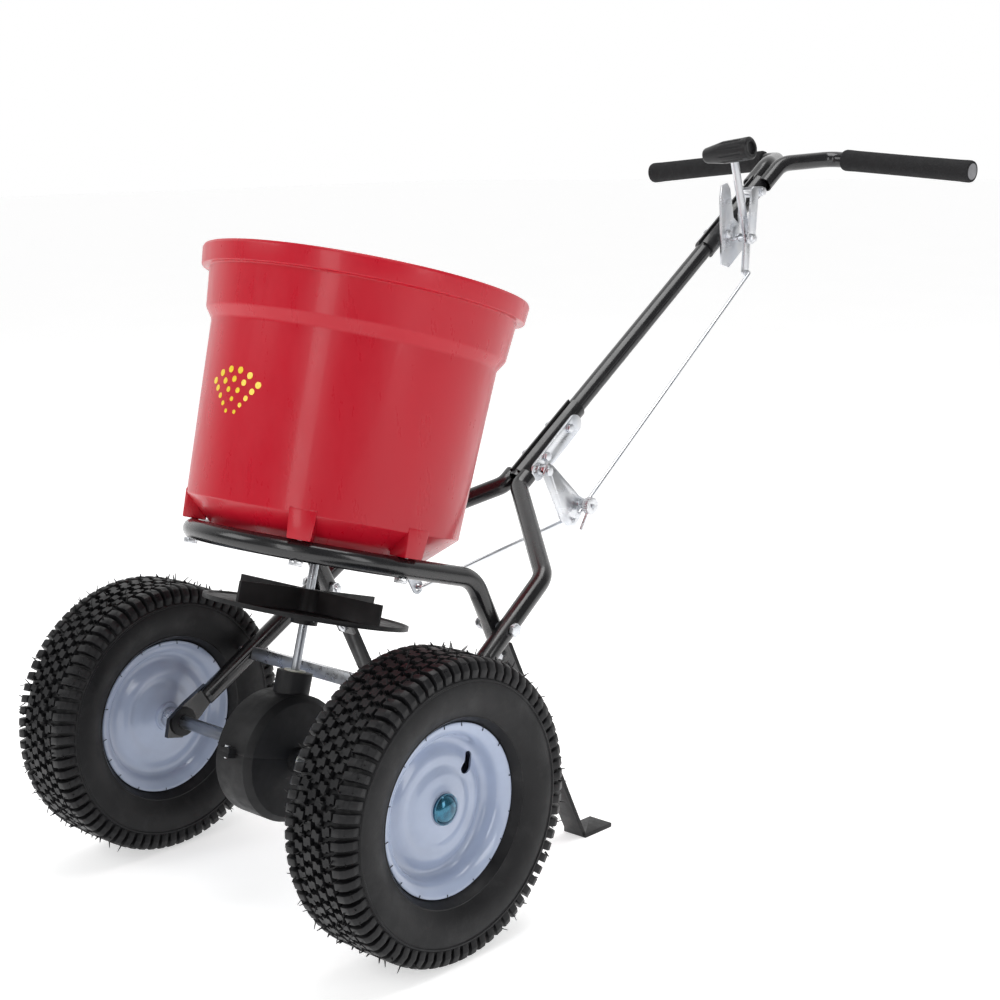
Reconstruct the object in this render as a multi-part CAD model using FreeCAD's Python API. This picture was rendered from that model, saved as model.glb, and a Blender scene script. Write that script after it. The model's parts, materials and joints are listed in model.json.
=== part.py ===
"""Walk-behind broadcast spreader: hopper, tube frame, pneumatic wheels, bevel drive and gate linkage.

Everything is drawn in the machine's own axes, in millimetres: the origin is the middle of the axle,
+X is the operator's left, +Y runs back towards the handle and +Z is the hopper and impeller axis.
At the end each piece is leaned back until tyres and stand feet rest on the floor.
"""
import FreeCAD, Part
import math
import os
from FreeCAD import Vector

os.makedirs("parts", exist_ok=True)

# ---------------------------------------------------------------- driving dimensions
# stance
LEAN = 16.5            # parked lean of the hopper axis, degrees
TYRE_R = 158.0
TYRE_HALF_W = 48.0
WHEEL_X = 236.0        # tyre centre plane from the machine's centre

# wheels
FLANGE_R = 90.0
RIM_HALF_W = 30.0
BEAD_R = 77.0
RIM_WALL = 2.5
HUB_R = 17.0
HUB_BORE_R = 11.0
HUB_IN = 34.0          # hub tube's reach inwards and outwards from the tyre's centre plane
HUB_OUT = 21.0
VALVE_ANGLE = 55.0     # valve slot, degrees from +Y towards +Z
VALVE_AT_R = 50.0
VALVE_SLOT_L = 12.0
VALVE_X = -9.5          # valve stem, inwards from the tyre's centre plane

# drive line
AXLE_R = 7.5
SHAFT_R = 5.0
HOUSING_R = 70.0
HOUSING_HALF_W = 30.0
HOUSING_WALL = 3.0
NECK_R = 20.0
NECK_TOP = 92.0
CROWN_TEETH = 36
PINION_TEETH = 9
CROWN_IN_R = 46.0
CROWN_OUT_R = 60.0
PINION_PITCH_R = 13.25
PINION_TIP_R = 15.0
PINION_ROOT_R = 10.4
CROWN_TIP_X = 11.7
CROWN_ROOT_X = 15.6
CROWN_BACK_X = 20.0

# impeller
DISC_R = 115.0
DISC_Z = 157.0
VANE_TOP = 184.0
VANE_R = 108.0
VANE_TURN = 5.0         # parked angle of the first vane from +X, degrees

# hopper
HOPPER_TOP = 536.5
LIP_R = 184.0
LIP_H = 22.0
LIP_FOOT_R = 181.8
BAND_R = 173.0
SHOULDER_Z = 470.0
SHOULDER_R = 168.5
WALL_TOP_Z = 458.0
WALL_TOP_R = 160.5
WALL_LOW_Z = 265.6
WALL_LOW_R = 152.0
FLOOR_R = 107.0
HOPPER_FLOOR = 225.0
HOPPER_WALL = 3.0
RIB_ANGLES = (0.0, 180.0, 230.0, 310.0)
RIB_HOLE = 11.0        # depth of the bolt hole in a rib
RIB_W = 30.0

# tubes
TUBE_R = 11.0
TUBE_WALL = 1.6
RING_R = 138.0
RING_Z = 228.0
RING_CORNER_Y = 109.0
STEM_R = 11.0
SHELL_IN = STEM_R + 0.2     # formed tube ends that wrap round the stem
SHELL_OUT = SHELL_IN + 3.0
SIDE_X = 12.0               # centre of the round tubes next to those ends
ARM_AXLE_X = 179.0
KNEE = (154.0, 207.0, 242.0)
JUNCTION_Y = 301.5
JUNCTION_Z = 349.3
STEM_ANGLE = 50.9           # rise of the stem from the machine's Y axis, degrees
STEM_LENGTH = 612.0
HANDLE_W = 273.0
GRIP_L = 205.0
GRIP_R = 15.0

# stand
LEG_W = 28.0
LEG_T = 5.0
FOOT_L = 48.0
LEG_ANGLE = 48.5            # slope of the stand leg below the machine's Y axis, degrees

# linkage
LINK_X = 28.0               # plane of the lever, rods and bell crank
ROD_R = 2.5
LEVER_PIVOT = (647.5, 739.0)
LEVER_TOP = (582.5, 843.0)
LEVER_LOW = (656.0, 693.5)
GRIP_RISE = 8.0             # slope of the lever's grip towards the operator's left, degrees
CRANK_PIVOT = (326.0, 367.0)
CRANK_UPPER = (396.0, 335.0)
CRANK_LOWER = (388.0, 314.0)
GATE_PIN = (150.0, 203.0)

GAP = 0.3
CLEAR = 0.05

X, Y, Z = Vector(1, 0, 0), Vector(0, 1, 0), Vector(0, 0, 1)
parts = {}


# ---------------------------------------------------------------- small helpers
def polar(radius, degrees):
    return radius * math.cos(math.radians(degrees)), radius * math.sin(math.radians(degrees))


def cyl(radius, length, start, axis=Z):
    return Part.makeCylinder(radius, length, Vector(*start), axis)


def box(x0, x1, y0, y1, z0, z1):
    return Part.makeBox(x1 - x0, y1 - y0, z1 - z0, Vector(x0, y0, z0))


def ring(outer, inner, length, start, axis=Z):
    return cyl(outer, length, start, axis).cut(cyl(inner, length, start, axis))


def spun(points, axis=Z):
    """Solid of revolution; points are (radius, height) along the axis."""
    place = (lambda r, h: Vector(r, 0, h)) if axis is Z else (lambda r, h: Vector(h, r, 0))
    loop = [place(r, h) for r, h in points]
    face = Part.Face(Part.makePolygon(loop + [loop[0]]))
    return face.revolve(Vector(), axis, 360)


def fuse(shapes):
    out = shapes[0]
    if len(shapes) > 1:
        out = out.multiFuse(shapes[1:])
    return out.removeSplitter()


def mirrored(shape):
    return shape.mirror(Vector(), X)


def spin(shape, degrees, axis=Z, centre=(0, 0, 0)):
    out = shape.copy()
    out.rotate(Vector(*centre), axis, degrees)
    return out


def path(points, radii):
    """Straight runs joined by tangent arcs of the given bend radii."""
    pts = [Vector(*p) for p in points]
    edges = []
    start = pts[0]
    for i, bend in enumerate(radii, 1):
        into = (pts[i] - pts[i - 1]).normalize()
        out = (pts[i + 1] - pts[i]).normalize()
        half = into.getAngle(out) / 2
        reach = bend * math.tan(half)
        a = pts[i] - into * reach
        b = pts[i] + out * reach
        inward = (out - into).normalize()
        mid = pts[i] + inward * (bend / math.cos(half) - bend)
        edges.append(Part.LineSegment(start, a).toShape())
        edges.append(Part.Arc(a, mid, b).toShape())
        start = b
    edges.append(Part.LineSegment(start, pts[-1]).toShape())
    return Part.Wire(edges)


def sweep(points, radii, radius):
    wire = path(points, radii)
    heading = (Vector(*points[1]) - Vector(*points[0])).normalize()
    profile = Part.Wire([Part.makeCircle(radius, Vector(*points[0]), heading)])
    return wire.makePipeShell([profile], True, False)


def tube(points, radii, radius=TUBE_R, wall=TUBE_WALL):
    return sweep(points, radii, radius).cut(sweep(points, radii, radius - wall))


def along(degrees, point, run, offset=0.0):
    """Point (y, z) at a distance up a line of the given slope, and a distance to its upper side."""
    y, z = polar(run, degrees)
    return point[0] + y - offset * math.sin(math.radians(degrees)), \
        point[1] + z + offset * math.cos(math.radians(degrees))


def stem_at(run, offset=0.0):
    return along(STEM_ANGLE, (JUNCTION_Y, JUNCTION_Z), run, offset)


def strap(y0z0, y1z1, width, x0, x1, holes=()):
    """Flat bar in a YZ plane with round ends and holes (y, z, radius)."""
    length = math.hypot(y1z1[0] - y0z0[0], y1z1[1] - y0z0[1])
    slope = math.degrees(math.atan2(y1z1[1] - y0z0[1], y1z1[0] - y0z0[0]))
    bar = box(x0, x1, 0, length, -width / 2, width / 2)
    bar = bar.fuse([cyl(width / 2, x1 - x0, (x0, 0, 0), X), cyl(width / 2, x1 - x0, (x0, length, 0), X)])
    bar.rotate(Vector(), X, slope)
    bar.translate(Vector(0, *y0z0))
    for y, z, r in holes:
        bar = bar.cut(cyl(r, x1 - x0, (x0, y, z), X))
    return bar.removeSplitter()


def hexagon(across, height, start, axis=Z):
    """Hexagon nut or bolt head standing on start, along axis."""
    corners = [Vector(*polar(across / math.sqrt(3), 60 * i), 0) for i in range(7)]
    body = Part.Face(Part.makePolygon(corners)).extrude(Vector(0, 0, height))
    body.Placement = FreeCAD.Placement(Vector(*start), FreeCAD.Rotation(Z, axis))
    return body


def bolt(start, length, axis, radius, head=None, grip=None):
    """Hexagon bolt: head under start, shank along axis, nut at the grip length."""
    head = head or radius * 1.3
    unit = Vector(axis).normalize()
    base = Vector(*start)
    solids = [hexagon(radius * 3.3, head, tuple(base - unit * head), axis), cyl(radius, length, start, axis)]
    if grip:
        solids.append(hexagon(radius * 3.3, radius * 1.6, tuple(base + unit * grip), axis))
    return fuse(solids)


def keep(name, shape):
    parts[name] = shape


# ---------------------------------------------------------------- frame tubes
LEG_NORMAL = Vector(0, math.sin(math.radians(LEG_ANGLE)), math.cos(math.radians(LEG_ANGLE)))
LEG_BOLT_RUNS = (104.0, 124.0)
PADDLE_START = 84.0
PADDLE_END = 134.0
PADDLE_T = 4.0
CROSS_RUN = 64.0            # where the wheel arm crosses the ring's down tube


def leg_at(run, offset=0.0):
    """Point (y, z) a distance down the stand leg's line, from the ring's rear corner."""
    slope = math.radians(LEG_ANGLE)
    return RING_CORNER_Y + run * math.cos(slope) + offset * math.sin(slope), \
        RING_Z - run * math.sin(slope) + offset * math.cos(slope)


def leg_bar(x0, x1, run0, run1, offset0, offset1):
    """Block laid along the stand leg's line."""
    corners = [(run0, offset0), (run1, offset0), (run1, offset1), (run0, offset1)]
    loop = [Vector(x0, *leg_at(*c)) for c in corners]
    return Part.Face(Part.makePolygon(loop + [loop[0]])).extrude(Vector(x1 - x0, 0, 0))


def bolted_rib_points():
    return [polar(RING_R, angle) for angle in RIB_ANGLES]


def hopper_ring():
    """U-shaped tube under the hopper; both ends turn down and are flattened for the stand legs."""
    low = leg_at(PADDLE_START + 2)
    left = [(RING_R, -RING_R, RING_Z), (RING_R, RING_CORNER_Y, RING_Z), (RING_R, *low)]
    right = [(-x, y, z) for x, y, z in reversed(left)]
    body = tube(right + left, [42.0, RING_R - 0.5, RING_R - 0.5, 42.0])
    paddles = []
    for side in (1, -1):
        middle = side * RING_R
        blade = leg_bar(middle - LEG_W / 2, middle + LEG_W / 2, PADDLE_START, PADDLE_END,
                        -PADDLE_T / 2, PADDLE_T / 2)
        paddles.append(blade)
        heel = Vector(middle, *leg_at(PADDLE_START - 10))
        down = Vector(0, math.cos(math.radians(LEG_ANGLE)), -math.sin(math.radians(LEG_ANGLE)))
        paddles.append(Part.makeCylinder(TUBE_R - TUBE_WALL, 12.0, heel, down))
    body = fuse([body] + paddles)
    bores = [cyl(4.2, 40, (px, py, RING_Z - 20)) for px, py in bolted_rib_points()]
    cross = leg_at(CROSS_RUN)
    for side in (1, -1):
        bores.append(cyl(4.2, 40, (side * RING_R - 20, *cross), X))
        for run in LEG_BOLT_RUNS:
            bores.append(cyl(3.2, 40, tuple(Vector(side * RING_R, *leg_at(run, -20.0))), LEG_NORMAL))
    return body.cut(Part.makeCompound(bores))


STEM_UP = Vector(0, math.cos(math.radians(STEM_ANGLE)), math.sin(math.radians(STEM_ANGLE)))


def stem_point(x, run, offset=0.0):
    return Vector(x, *stem_at(run, offset))


def half_shell(side, run0, run1):
    """Tube end pressed to wrap one side of the stem."""
    base = stem_point(0, run0)
    shell = Part.makeCylinder(SHELL_OUT, run1 - run0, base, STEM_UP)
    core = Part.makeCylinder(SHELL_IN, run1 - run0, base, STEM_UP)
    keep_side = box(3.5, 30, 200, 900, 250, 1000)
    return shell.cut(core).common(keep_side if side > 0 else mirrored(keep_side))


def scooped(body, run0, run1):
    """Clear the stem's way out of a tube that lies against it."""
    return body.cut(Part.makeCylinder(SHELL_IN, run1 - run0, stem_point(0, run0), STEM_UP))


ARM_DIR = Vector(KNEE[0] - ARM_AXLE_X, KNEE[1], KNEE[2]).normalize()
ARM_FLAT = 44.0      # length of the flattened lower end above the axle
ARM_SHELL = (6.0, 136.0)
HANDLE_SHELL = (464.0, 616.0)


def arm_x(z):
    """How far out a wheel arm's centre line is at a height."""
    return ARM_AXLE_X + (KNEE[0] - ARM_AXLE_X) * z / KNEE[2]


def wheel_arm(side):
    first = Vector(side * ARM_DIR.x, ARM_DIR.y, ARM_DIR.z)
    axle_point = Vector(side * ARM_AXLE_X, 0, 0)
    points = [tuple(axle_point + first * ARM_FLAT), (side * KNEE[0], KNEE[1], KNEE[2]),
              tuple(stem_point(side * SIDE_X, -10.0)), tuple(stem_point(side * SIDE_X, ARM_SHELL[0] + 4))]
    body = scooped(tube(points, [34.0, 18.0]), STEM_START - 1.0, 40.0)
    slope = math.degrees(math.atan2(KNEE[2], KNEE[1]))
    x0 = ARM_AXLE_X - 3.0
    blade = [(-27.0, 0.0), (-12.0, -15.0), (14.0, -15.0), (ARM_FLAT + 6, -TUBE_R),
             (ARM_FLAT + 6, TUBE_R), (14.0, 15.0), (-12.0, 15.0)]
    loop = [Vector(side * x0, y, z) for y, z in blade]
    flat = Part.Face(Part.makePolygon(loop + [loop[0]])).extrude(Vector(side * 6.0, 0, 0))
    flat.rotate(Vector(), X, slope)
    plug = Part.makeCylinder(TUBE_R - 0.2, 12, axle_point + first * (ARM_FLAT - 4), first)
    body = fuse([body, flat, plug, half_shell(side, *ARM_SHELL)])
    cross = leg_at(CROSS_RUN)
    brace = brace_seat()
    cuts = [cyl(12.0, 60, (side * ARM_AXLE_X - 30, 0, 0), X),
            cyl(4.2, 60, (side * arm_x(cross[1]) - 30, *cross), X),
            cyl(3.2, 60, (side * arm_x(brace[1]) - 30, *brace), X)]
    for run in STEM_BOLTS_LOW:
        cuts.append(cyl(3.2, 40, tuple(stem_point(side * 20 - 20, run)), X))
    return body.cut(Part.makeCompound(cuts))


STEM_START = 0.0
STEM_BOLTS_LOW = (46.0, 99.0)
STEM_BOLTS_HIGH = (500.0, 597.0)
BRACE_Y = 76.0
STRAP_T = 3.0
SLANT_GAP = 0.9             # room for what sits flat against the slanting wheel arms


def brace_seat():
    """Where the cross brace meets the wheel arms, on their centre line."""
    return BRACE_Y, BRACE_Y * KNEE[2] / KNEE[1]


def stem():
    body = tube([tuple(stem_point(0, STEM_START)), tuple(stem_point(0, STEM_LENGTH))], [], STEM_R)
    cuts = [cyl(3.2, 60, tuple(stem_point(-30, run)), X) for run in STEM_BOLTS_LOW + STEM_BOLTS_HIGH]
    return body.cut(Part.makeCompound(cuts))


def handle_points(side):
    return [tuple(stem_point(side * SIDE_X, HANDLE_SHELL[1] - 4)), tuple(stem_point(side * SIDE_X, 662.0)),
            (side * 46.0, 790.0, 889.5), (side * (HANDLE_W - 4), 788.2, 869.8)]


def handlebar(side):
    body = scooped(tube(handle_points(side), [42.0, 24.0]), 560.0, STEM_LENGTH + 1)
    body = fuse([body, half_shell(side, *HANDLE_SHELL)])
    cuts = [cyl(3.2, 40, tuple(stem_point(side * 20 - 20, run)), X) for run in STEM_BOLTS_HIGH]
    return body.cut(Part.makeCompound(cuts))


def grip_line(side):
    pts = handle_points(side)
    outer = Vector(*pts[-1])
    inward = (Vector(*pts[-2]) - outer).normalize()
    return outer, inward


def grip(side):
    outer, inward = grip_line(side)
    tip = outer - inward * 4
    body = Part.makeCylinder(GRIP_R, GRIP_L, tip, inward)
    return body.cut(Part.makeCylinder(TUBE_R, GRIP_L, tip, inward))


def end_plug(side):
    outer, inward = grip_line(side)
    cap = Part.makeCylinder(TUBE_R, 4, outer - inward * 4, inward)
    return cap.fuse(Part.makeCylinder(TUBE_R - TUBE_WALL, 16, outer, inward)).removeSplitter()


# ---------------------------------------------------------------- stand
def on_floor(y):
    """Machine z of the floor at a machine y."""
    lean = math.radians(LEAN)
    return (y * math.sin(lean) - TYRE_R) / math.cos(lean)


def stand_leg(side):
    """Flat bar behind the ring's flattened end, with a foot pad turned back along the floor."""
    front, rear = PADDLE_T / 2, PADDLE_T / 2 + LEG_T
    top_y, top_z = leg_at(0.0, front)
    slope, lean = math.radians(LEG_ANGLE), math.radians(LEAN)
    run = (top_z - on_floor(top_y)) / (math.sin(slope) + math.cos(slope) * math.tan(lean))
    middle = side * RING_R
    bar = leg_bar(middle - LEG_W / 2, middle + LEG_W / 2, PADDLE_START + 8, run + 12, front, rear)
    back = Vector(0, math.cos(lean), math.sin(lean))
    up = Vector(0, -math.sin(lean), math.cos(lean))
    toe = Vector(middle - LEG_W / 2 - 3, *leg_at(run, front))
    pad = [toe, toe + back * FOOT_L, toe + back * FOOT_L + up * LEG_T, toe + up * LEG_T]
    foot = Part.Face(Part.makePolygon(pad + [pad[0]])).extrude(Vector(LEG_W + 6, 0, 0))
    floor = [toe - back * 60 - X * 20, toe + back * 90 - X * 20, toe + back * 90 - up * 60 - X * 20,
             toe - back * 60 - up * 60 - X * 20]
    below = Part.Face(Part.makePolygon(floor + [floor[0]])).extrude(Vector(LEG_W + 60, 0, 0))
    body = fuse([bar.cut(below), foot])
    cuts = [cyl(3.2, 40, (middle, *leg_at(bolt_run, -20.0)), LEG_NORMAL) for bolt_run in LEG_BOLT_RUNS]
    return body.cut(Part.makeCompound(cuts))


# ---------------------------------------------------------------- cross brace and frame fasteners
def cross_brace():
    """Zinc channel between the wheel arms, open to the rear, with closed ends."""
    y, z = brace_seat()
    half = arm_x(z) - TUBE_R - SLANT_GAP
    outer, inner = 7.5, 6.0
    solid = box(-half, half, y - outer, y + outer, z - outer, z + outer)
    inside = box(-half + 2.5, half - 2.5, y - inner, y + outer + 1, z - inner, z + inner)
    return solid.cut(inside).cut(cyl(3.2, 2 * half + 2, (-half - 1, y, z), X))


def frame_bolts():
    solids = []
    brace = brace_seat()
    cross = leg_at(CROSS_RUN)
    for side in (1, -1):
        into = Vector(-side, 0, 0)
        outer = side * (arm_x(cross[1]) + TUBE_R + SLANT_GAP)
        through = abs(outer) - RING_R + TUBE_R
        solids.append(bolt((outer, *cross), through + 10, into, 4.0, grip=through))
        outer = side * (arm_x(brace[1]) + TUBE_R + SLANT_GAP)
        through = 2 * (TUBE_R + SLANT_GAP) + 2.6
        solids.append(bolt((outer, *brace), through + 8, into, 3.0, grip=through))
    return Part.makeCompound(solids)


def leg_bolts():
    solids = []
    through = PADDLE_T + LEG_T
    for side in (1, -1):
        for run in LEG_BOLT_RUNS:
            start = (side * RING_R, *leg_at(run, -PADDLE_T / 2))
            solids.append(bolt(start, through + 8, LEG_NORMAL, 3.0, grip=through))
    return Part.makeCompound(solids)


def stem_bolts():
    solids = []
    for run in STEM_BOLTS_LOW + STEM_BOLTS_HIGH:
        through = 2 * SHELL_OUT + STRAP_T
        start = tuple(stem_point(SHELL_OUT + STRAP_T, run))
        solids.append(bolt(start, through + 8, Vector(-1, 0, 0), 3.0, grip=through))
    return Part.makeCompound(solids)


# ---------------------------------------------------------------- hopper
def hopper():
    outer = [(0, HOPPER_FLOOR), (FLOOR_R, HOPPER_FLOOR), (WALL_LOW_R, WALL_LOW_Z), (WALL_TOP_R, WALL_TOP_Z),
             (SHOULDER_R, SHOULDER_Z), (BAND_R, HOPPER_TOP - LIP_H), (LIP_FOOT_R, HOPPER_TOP - LIP_H),
             (LIP_R, HOPPER_TOP)]
    t = HOPPER_WALL
    inner = [(LIP_R - t - 5, HOPPER_TOP), (BAND_R - t, HOPPER_TOP - LIP_H), (SHOULDER_R - t, SHOULDER_Z + 1),
             (WALL_TOP_R - t, WALL_TOP_Z), (WALL_LOW_R - t, WALL_LOW_Z + 1.5), (FLOOR_R - 1, HOPPER_FLOOR + t + 0.6),
             (0, HOPPER_FLOOR + t + 0.6)]
    body = spun(outer + inner)
    ribs = []
    for angle in RIB_ANGLES:
        rib = box(RING_R - 12, WALL_LOW_R - 1.5, -RIB_W / 2, RIB_W / 2, RING_Z + TUBE_R, WALL_LOW_Z + 4)
        ribs.append(spin(rib, angle))
    funnel = Part.makeCone(FLOOR_R, WALL_LOW_R, WALL_LOW_Z - HOPPER_FLOOR, Vector(0, 0, HOPPER_FLOOR))
    cavity = cyl(WALL_LOW_R - 1, 200, (0, 0, WALL_LOW_Z))
    ribs = [r.cut(funnel.fuse(cavity)) for r in ribs]
    body = fuse([body] + ribs)
    cuts = [cyl(SHAFT_R + 4.0, 20, (0, 0, HOPPER_FLOOR - 5))]
    for side in (1, -1):
        cuts.append(box(side * 30 - 9, side * 30 + 9, OUTLET_Y0, OUTLET_Y1, HOPPER_FLOOR - 1, HOPPER_FLOOR + 6))
    cuts += [cyl(4.2, RIB_HOLE + 1, (px, py, RING_Z + TUBE_R - 1)) for px, py in bolted_rib_points()]
    return body.cut(Part.makeCompound(cuts))


OUTLET_Y0, OUTLET_Y1 = -14.0, 10.0


def hopper_bolts():
    solids = []
    for px, py in bolted_rib_points():
        solids.append(bolt((px, py, RING_Z - TUBE_R), 2 * TUBE_R + RIB_HOLE - 1, Z, 4.0))
    return Part.makeCompound(solids)


GATE_Z = HOPPER_FLOOR - 3.2     # underside of the sliding plate
GATE_T = 2.5
GATE_TRAVEL = 27.4
EAR_X0 = 14.0
EAR_W = 16.0


def gate_plate():
    """Sliding shutter under the hopper floor, with the arm that the lower rod pulls."""
    plate = box(-50, 50, -36, 72, GATE_Z, GATE_Z + GATE_T)
    slot = fuse([cyl(SHAFT_R + 4.5, 10, (0, y, GATE_Z - 3)) for y in (-GATE_TRAVEL, 2.0)]
                + [box(-SHAFT_R - 4.5, SHAFT_R + 4.5, -GATE_TRAVEL, 2.0, GATE_Z - 3, GATE_Z + 7)])
    windows = [box(s * 30 - 8, s * 30 + 8, OUTLET_Y0 - GATE_TRAVEL + 1, OUTLET_Y1 - GATE_TRAVEL - 1,
                   GATE_Z - 1, GATE_Z + 4) for s in (1, -1)]
    tongue = box(EAR_X0, EAR_X0 + 14.0, 70, 140, GATE_Z, GATE_Z + GATE_T)
    body = fuse([plate, tongue]).cut(Part.makeCompound([slot] + windows))
    ear = strap((GATE_PIN[0] - EAR_W + 4, GATE_Z - 6.5), GATE_PIN, EAR_W, EAR_X0, EAR_X0 + 2.5, [(*GATE_PIN, 4.0)])
    return fuse([body, ear])


def gate_guide():
    """Fixed plate with rails that carries the shutter and forms the outlet."""
    low = GATE_Z - 0.4 - 3.0
    floor_plate = box(-60, 60, -40, 44, low, low + 3.0)
    rails = [box(s * 55.5 - 4.5, s * 55.5 + 4.5, -40, 44, low + 3.0, HOPPER_FLOOR) for s in (1, -1)]
    body = fuse([floor_plate] + rails)
    cuts = [cyl(SHAFT_R + 4.5, 10, (0, 0, low - 1))]
    for side in (1, -1):
        cuts.append(box(side * 30 - 10, side * 30 + 10, OUTLET_Y0 - 1, OUTLET_Y1 + 1, low - 1, low + 5))
        for y in (-32.0, 36.0):
            cuts.append(cyl(2.2, 20, (side * 46.0 + side * 9.5, y, low - 1)))
    collar = ring(SHAFT_R + 7.0, SHAFT_R + 4.5, 6.0, (0, 0, low - 6.0))
    return fuse([body.cut(Part.makeCompound(cuts)), collar])


def guide_screws():
    low = GATE_Z - 0.4 - 3.0
    solids = []
    for side in (1, -1):
        for y in (-32.0, 36.0):
            px = side * 55.5
            head = cyl(4.0, 2.4, (px, y, low - 2.4))
            solids.append(head.fuse(cyl(2.0, HOPPER_FLOOR - low, (px, y, low))).removeSplitter())
    return Part.makeCompound(solids)


# ---------------------------------------------------------------- gearbox
def drum(radius, half_width, corner):
    return spun([(0, -half_width), (radius - corner, -half_width), (radius, -half_width + corner),
                 (radius, half_width - corner), (radius - corner, half_width), (0, half_width)], X)


def housing_half(upper):
    """One shell of the gearbox, split at the axle; the upper one carries the shaft's neck."""
    r, w = HOUSING_R, HOUSING_HALF_W
    bosses = cyl(AXLE_R + 6.5, 2 * (w + 8), (-w - 8, 0, 0), X)
    lugs = [box(-9, 9, y - 6, y + 6, -5, 5) for y in (-r - 4.0, r + 4.0)]
    body = fuse([drum(r, w, 7.0), bosses] + lugs)
    if upper:
        body = fuse([body, cyl(NECK_R, NECK_TOP - 50, (0, 0, 50))])
    half = box(-80, 80, -100, 100, 0, 120) if upper else box(-80, 80, -100, 100, -120, 0)
    body = body.common(half).cut(drum(r - HOUSING_WALL, w - HOUSING_WALL, 7.0))
    cuts = [cyl(AXLE_R + 2.0, 2 * (w + 9), (-w - 9, 0, 0), X)]
    cuts += [cyl(1.8, 12, (0, y, -6)) for y in (-r - 5.5, r + 5.5)]
    if upper:
        cuts.append(cyl(SHAFT_R + 3.0, NECK_TOP, (0, 0, 40)))
    return body.cut(Part.makeCompound(cuts))


def housing_screws():
    solids = []
    for y in (-HOUSING_R - 5.5, HOUSING_R + 5.5):
        body = fuse([cyl(3.2, 2.2, (0, y, 5.0)), cyl(1.6, 12.4, (0, y, -6.8))])
        solids.append(body)
    return Part.makeCompound(solids)


def housing_bushes():
    """Plain bearings between the housing and the axle."""
    w = HOUSING_HALF_W
    return Part.makeCompound([ring(AXLE_R + 2.0 - 0.02, AXLE_R + CLEAR, 11.0, (x, 0, 0), X)
                              for x in (-w - 8, w - 3)])


def shaft_bush():
    return fuse([ring(SHAFT_R + 3.0, SHAFT_R + CLEAR, 12.0, (0, 0, NECK_TOP - 12)),
                 ring(SHAFT_R + 7.0, SHAFT_R + CLEAR, 2.0, (0, 0, NECK_TOP))])


def arm_bushes():
    """Flanged axle bearings pressed into the flattened ends of the wheel arms."""
    solids = []
    for side in (1, -1):
        x0 = ARM_AXLE_X - 3.0
        body = fuse([ring(12.0, AXLE_R + CLEAR, 6.0 + 3.0, (x0, 0, 0), X),
                     ring(17.0, AXLE_R + CLEAR, 3.0, (x0 - 3.0, 0, 0), X)])
        solids.append(body if side > 0 else mirrored(body))
    return Part.makeCompound(solids)


# ---------------------------------------------------------------- axle, gears, shaft
AXLE_END = WHEEL_X + HUB_OUT + 4.5
WHEEL_PIN_X = -WHEEL_X - 16.0
WHEEL_PIN_R = 2.0


def axle():
    body = cyl(AXLE_R, 2 * AXLE_END, (-AXLE_END, 0, 0), X)
    return body.cut(cyl(WHEEL_PIN_R, 40, (WHEEL_PIN_X, -20, 0), Y))


def crown_gear():
    plate = ring(CROWN_OUT_R, AXLE_R, CROWN_BACK_X - CROWN_ROOT_X, (CROWN_ROOT_X, 0, 0), X)
    hub = ring(AXLE_R + 5.0, AXLE_R, 6.0, (CROWN_BACK_X, 0, 0), X)
    teeth = []
    root_w, tip_w = 1.75, 1.1
    for i in range(CROWN_TEETH):
        wedge = []
        for r in (CROWN_IN_R, CROWN_OUT_R):
            k = 0.6 + 0.4 * r / CROWN_OUT_R
            loop = [Vector(CROWN_ROOT_X + 0.01, -root_w * k, r), Vector(CROWN_ROOT_X + 0.01, root_w * k, r),
                    Vector(CROWN_TIP_X, tip_w * k, r), Vector(CROWN_TIP_X, -tip_w * k, r)]
            wedge.append(Part.Wire(Part.makePolygon(loop + [loop[0]])))
        tooth = Part.makeLoft(wedge, True, True)
        teeth.append(spin(tooth, (i + 0.5) * 360 / CROWN_TEETH, X))
    body = fuse([plate, hub] + teeth)
    return body.cut(cyl(AXLE_R, 60, (0, 0, 0), X))


PINION_Z0 = CROWN_IN_R + 0.5
PINION_Z1 = CROWN_OUT_R - 0.5


def pinion():
    half = 180.0 / PINION_TEETH
    loop = []
    for i in range(PINION_TEETH):
        mid = i * 2 * half
        for radius, turn in ((PINION_ROOT_R, -0.62), (PINION_TIP_R, -0.27), (PINION_TIP_R, 0.27),
                             (PINION_ROOT_R, 0.62)):
            loop.append(Vector(*polar(radius, mid + turn * half), PINION_Z0))
    body = Part.Face(Part.makePolygon(loop + [loop[0]])).extrude(Vector(0, 0, PINION_Z1 - PINION_Z0))
    collar = cyl(SHAFT_R + 3.0, 5.0, (0, 0, PINION_Z0 - 5.0))
    body = fuse([body, collar])
    return body.cut(Part.makeCompound([cyl(SHAFT_R, 80, (0, 0, 0)), cyl(1.5, 40, (-20, 0, PINION_Z0 - 2.5), X)]))


SHAFT_LOW = PINION_Z0 - 10.0
SHAFT_TOP = HOPPER_FLOOR + 46.0
AGITATOR_Z = HOPPER_FLOOR + 28.0


def impeller_shaft():
    body = cyl(SHAFT_R, SHAFT_TOP - SHAFT_LOW, (0, 0, SHAFT_LOW))
    cuts = [cyl(1.5, 40, (-20, 0, z), X) for z in (PINION_Z0 - 2.5, DISC_Z - 6.0)]
    cuts.append(cyl(2.0, 40, (0, -20, AGITATOR_Z), Y))
    return body.cut(Part.makeCompound(cuts))


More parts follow.
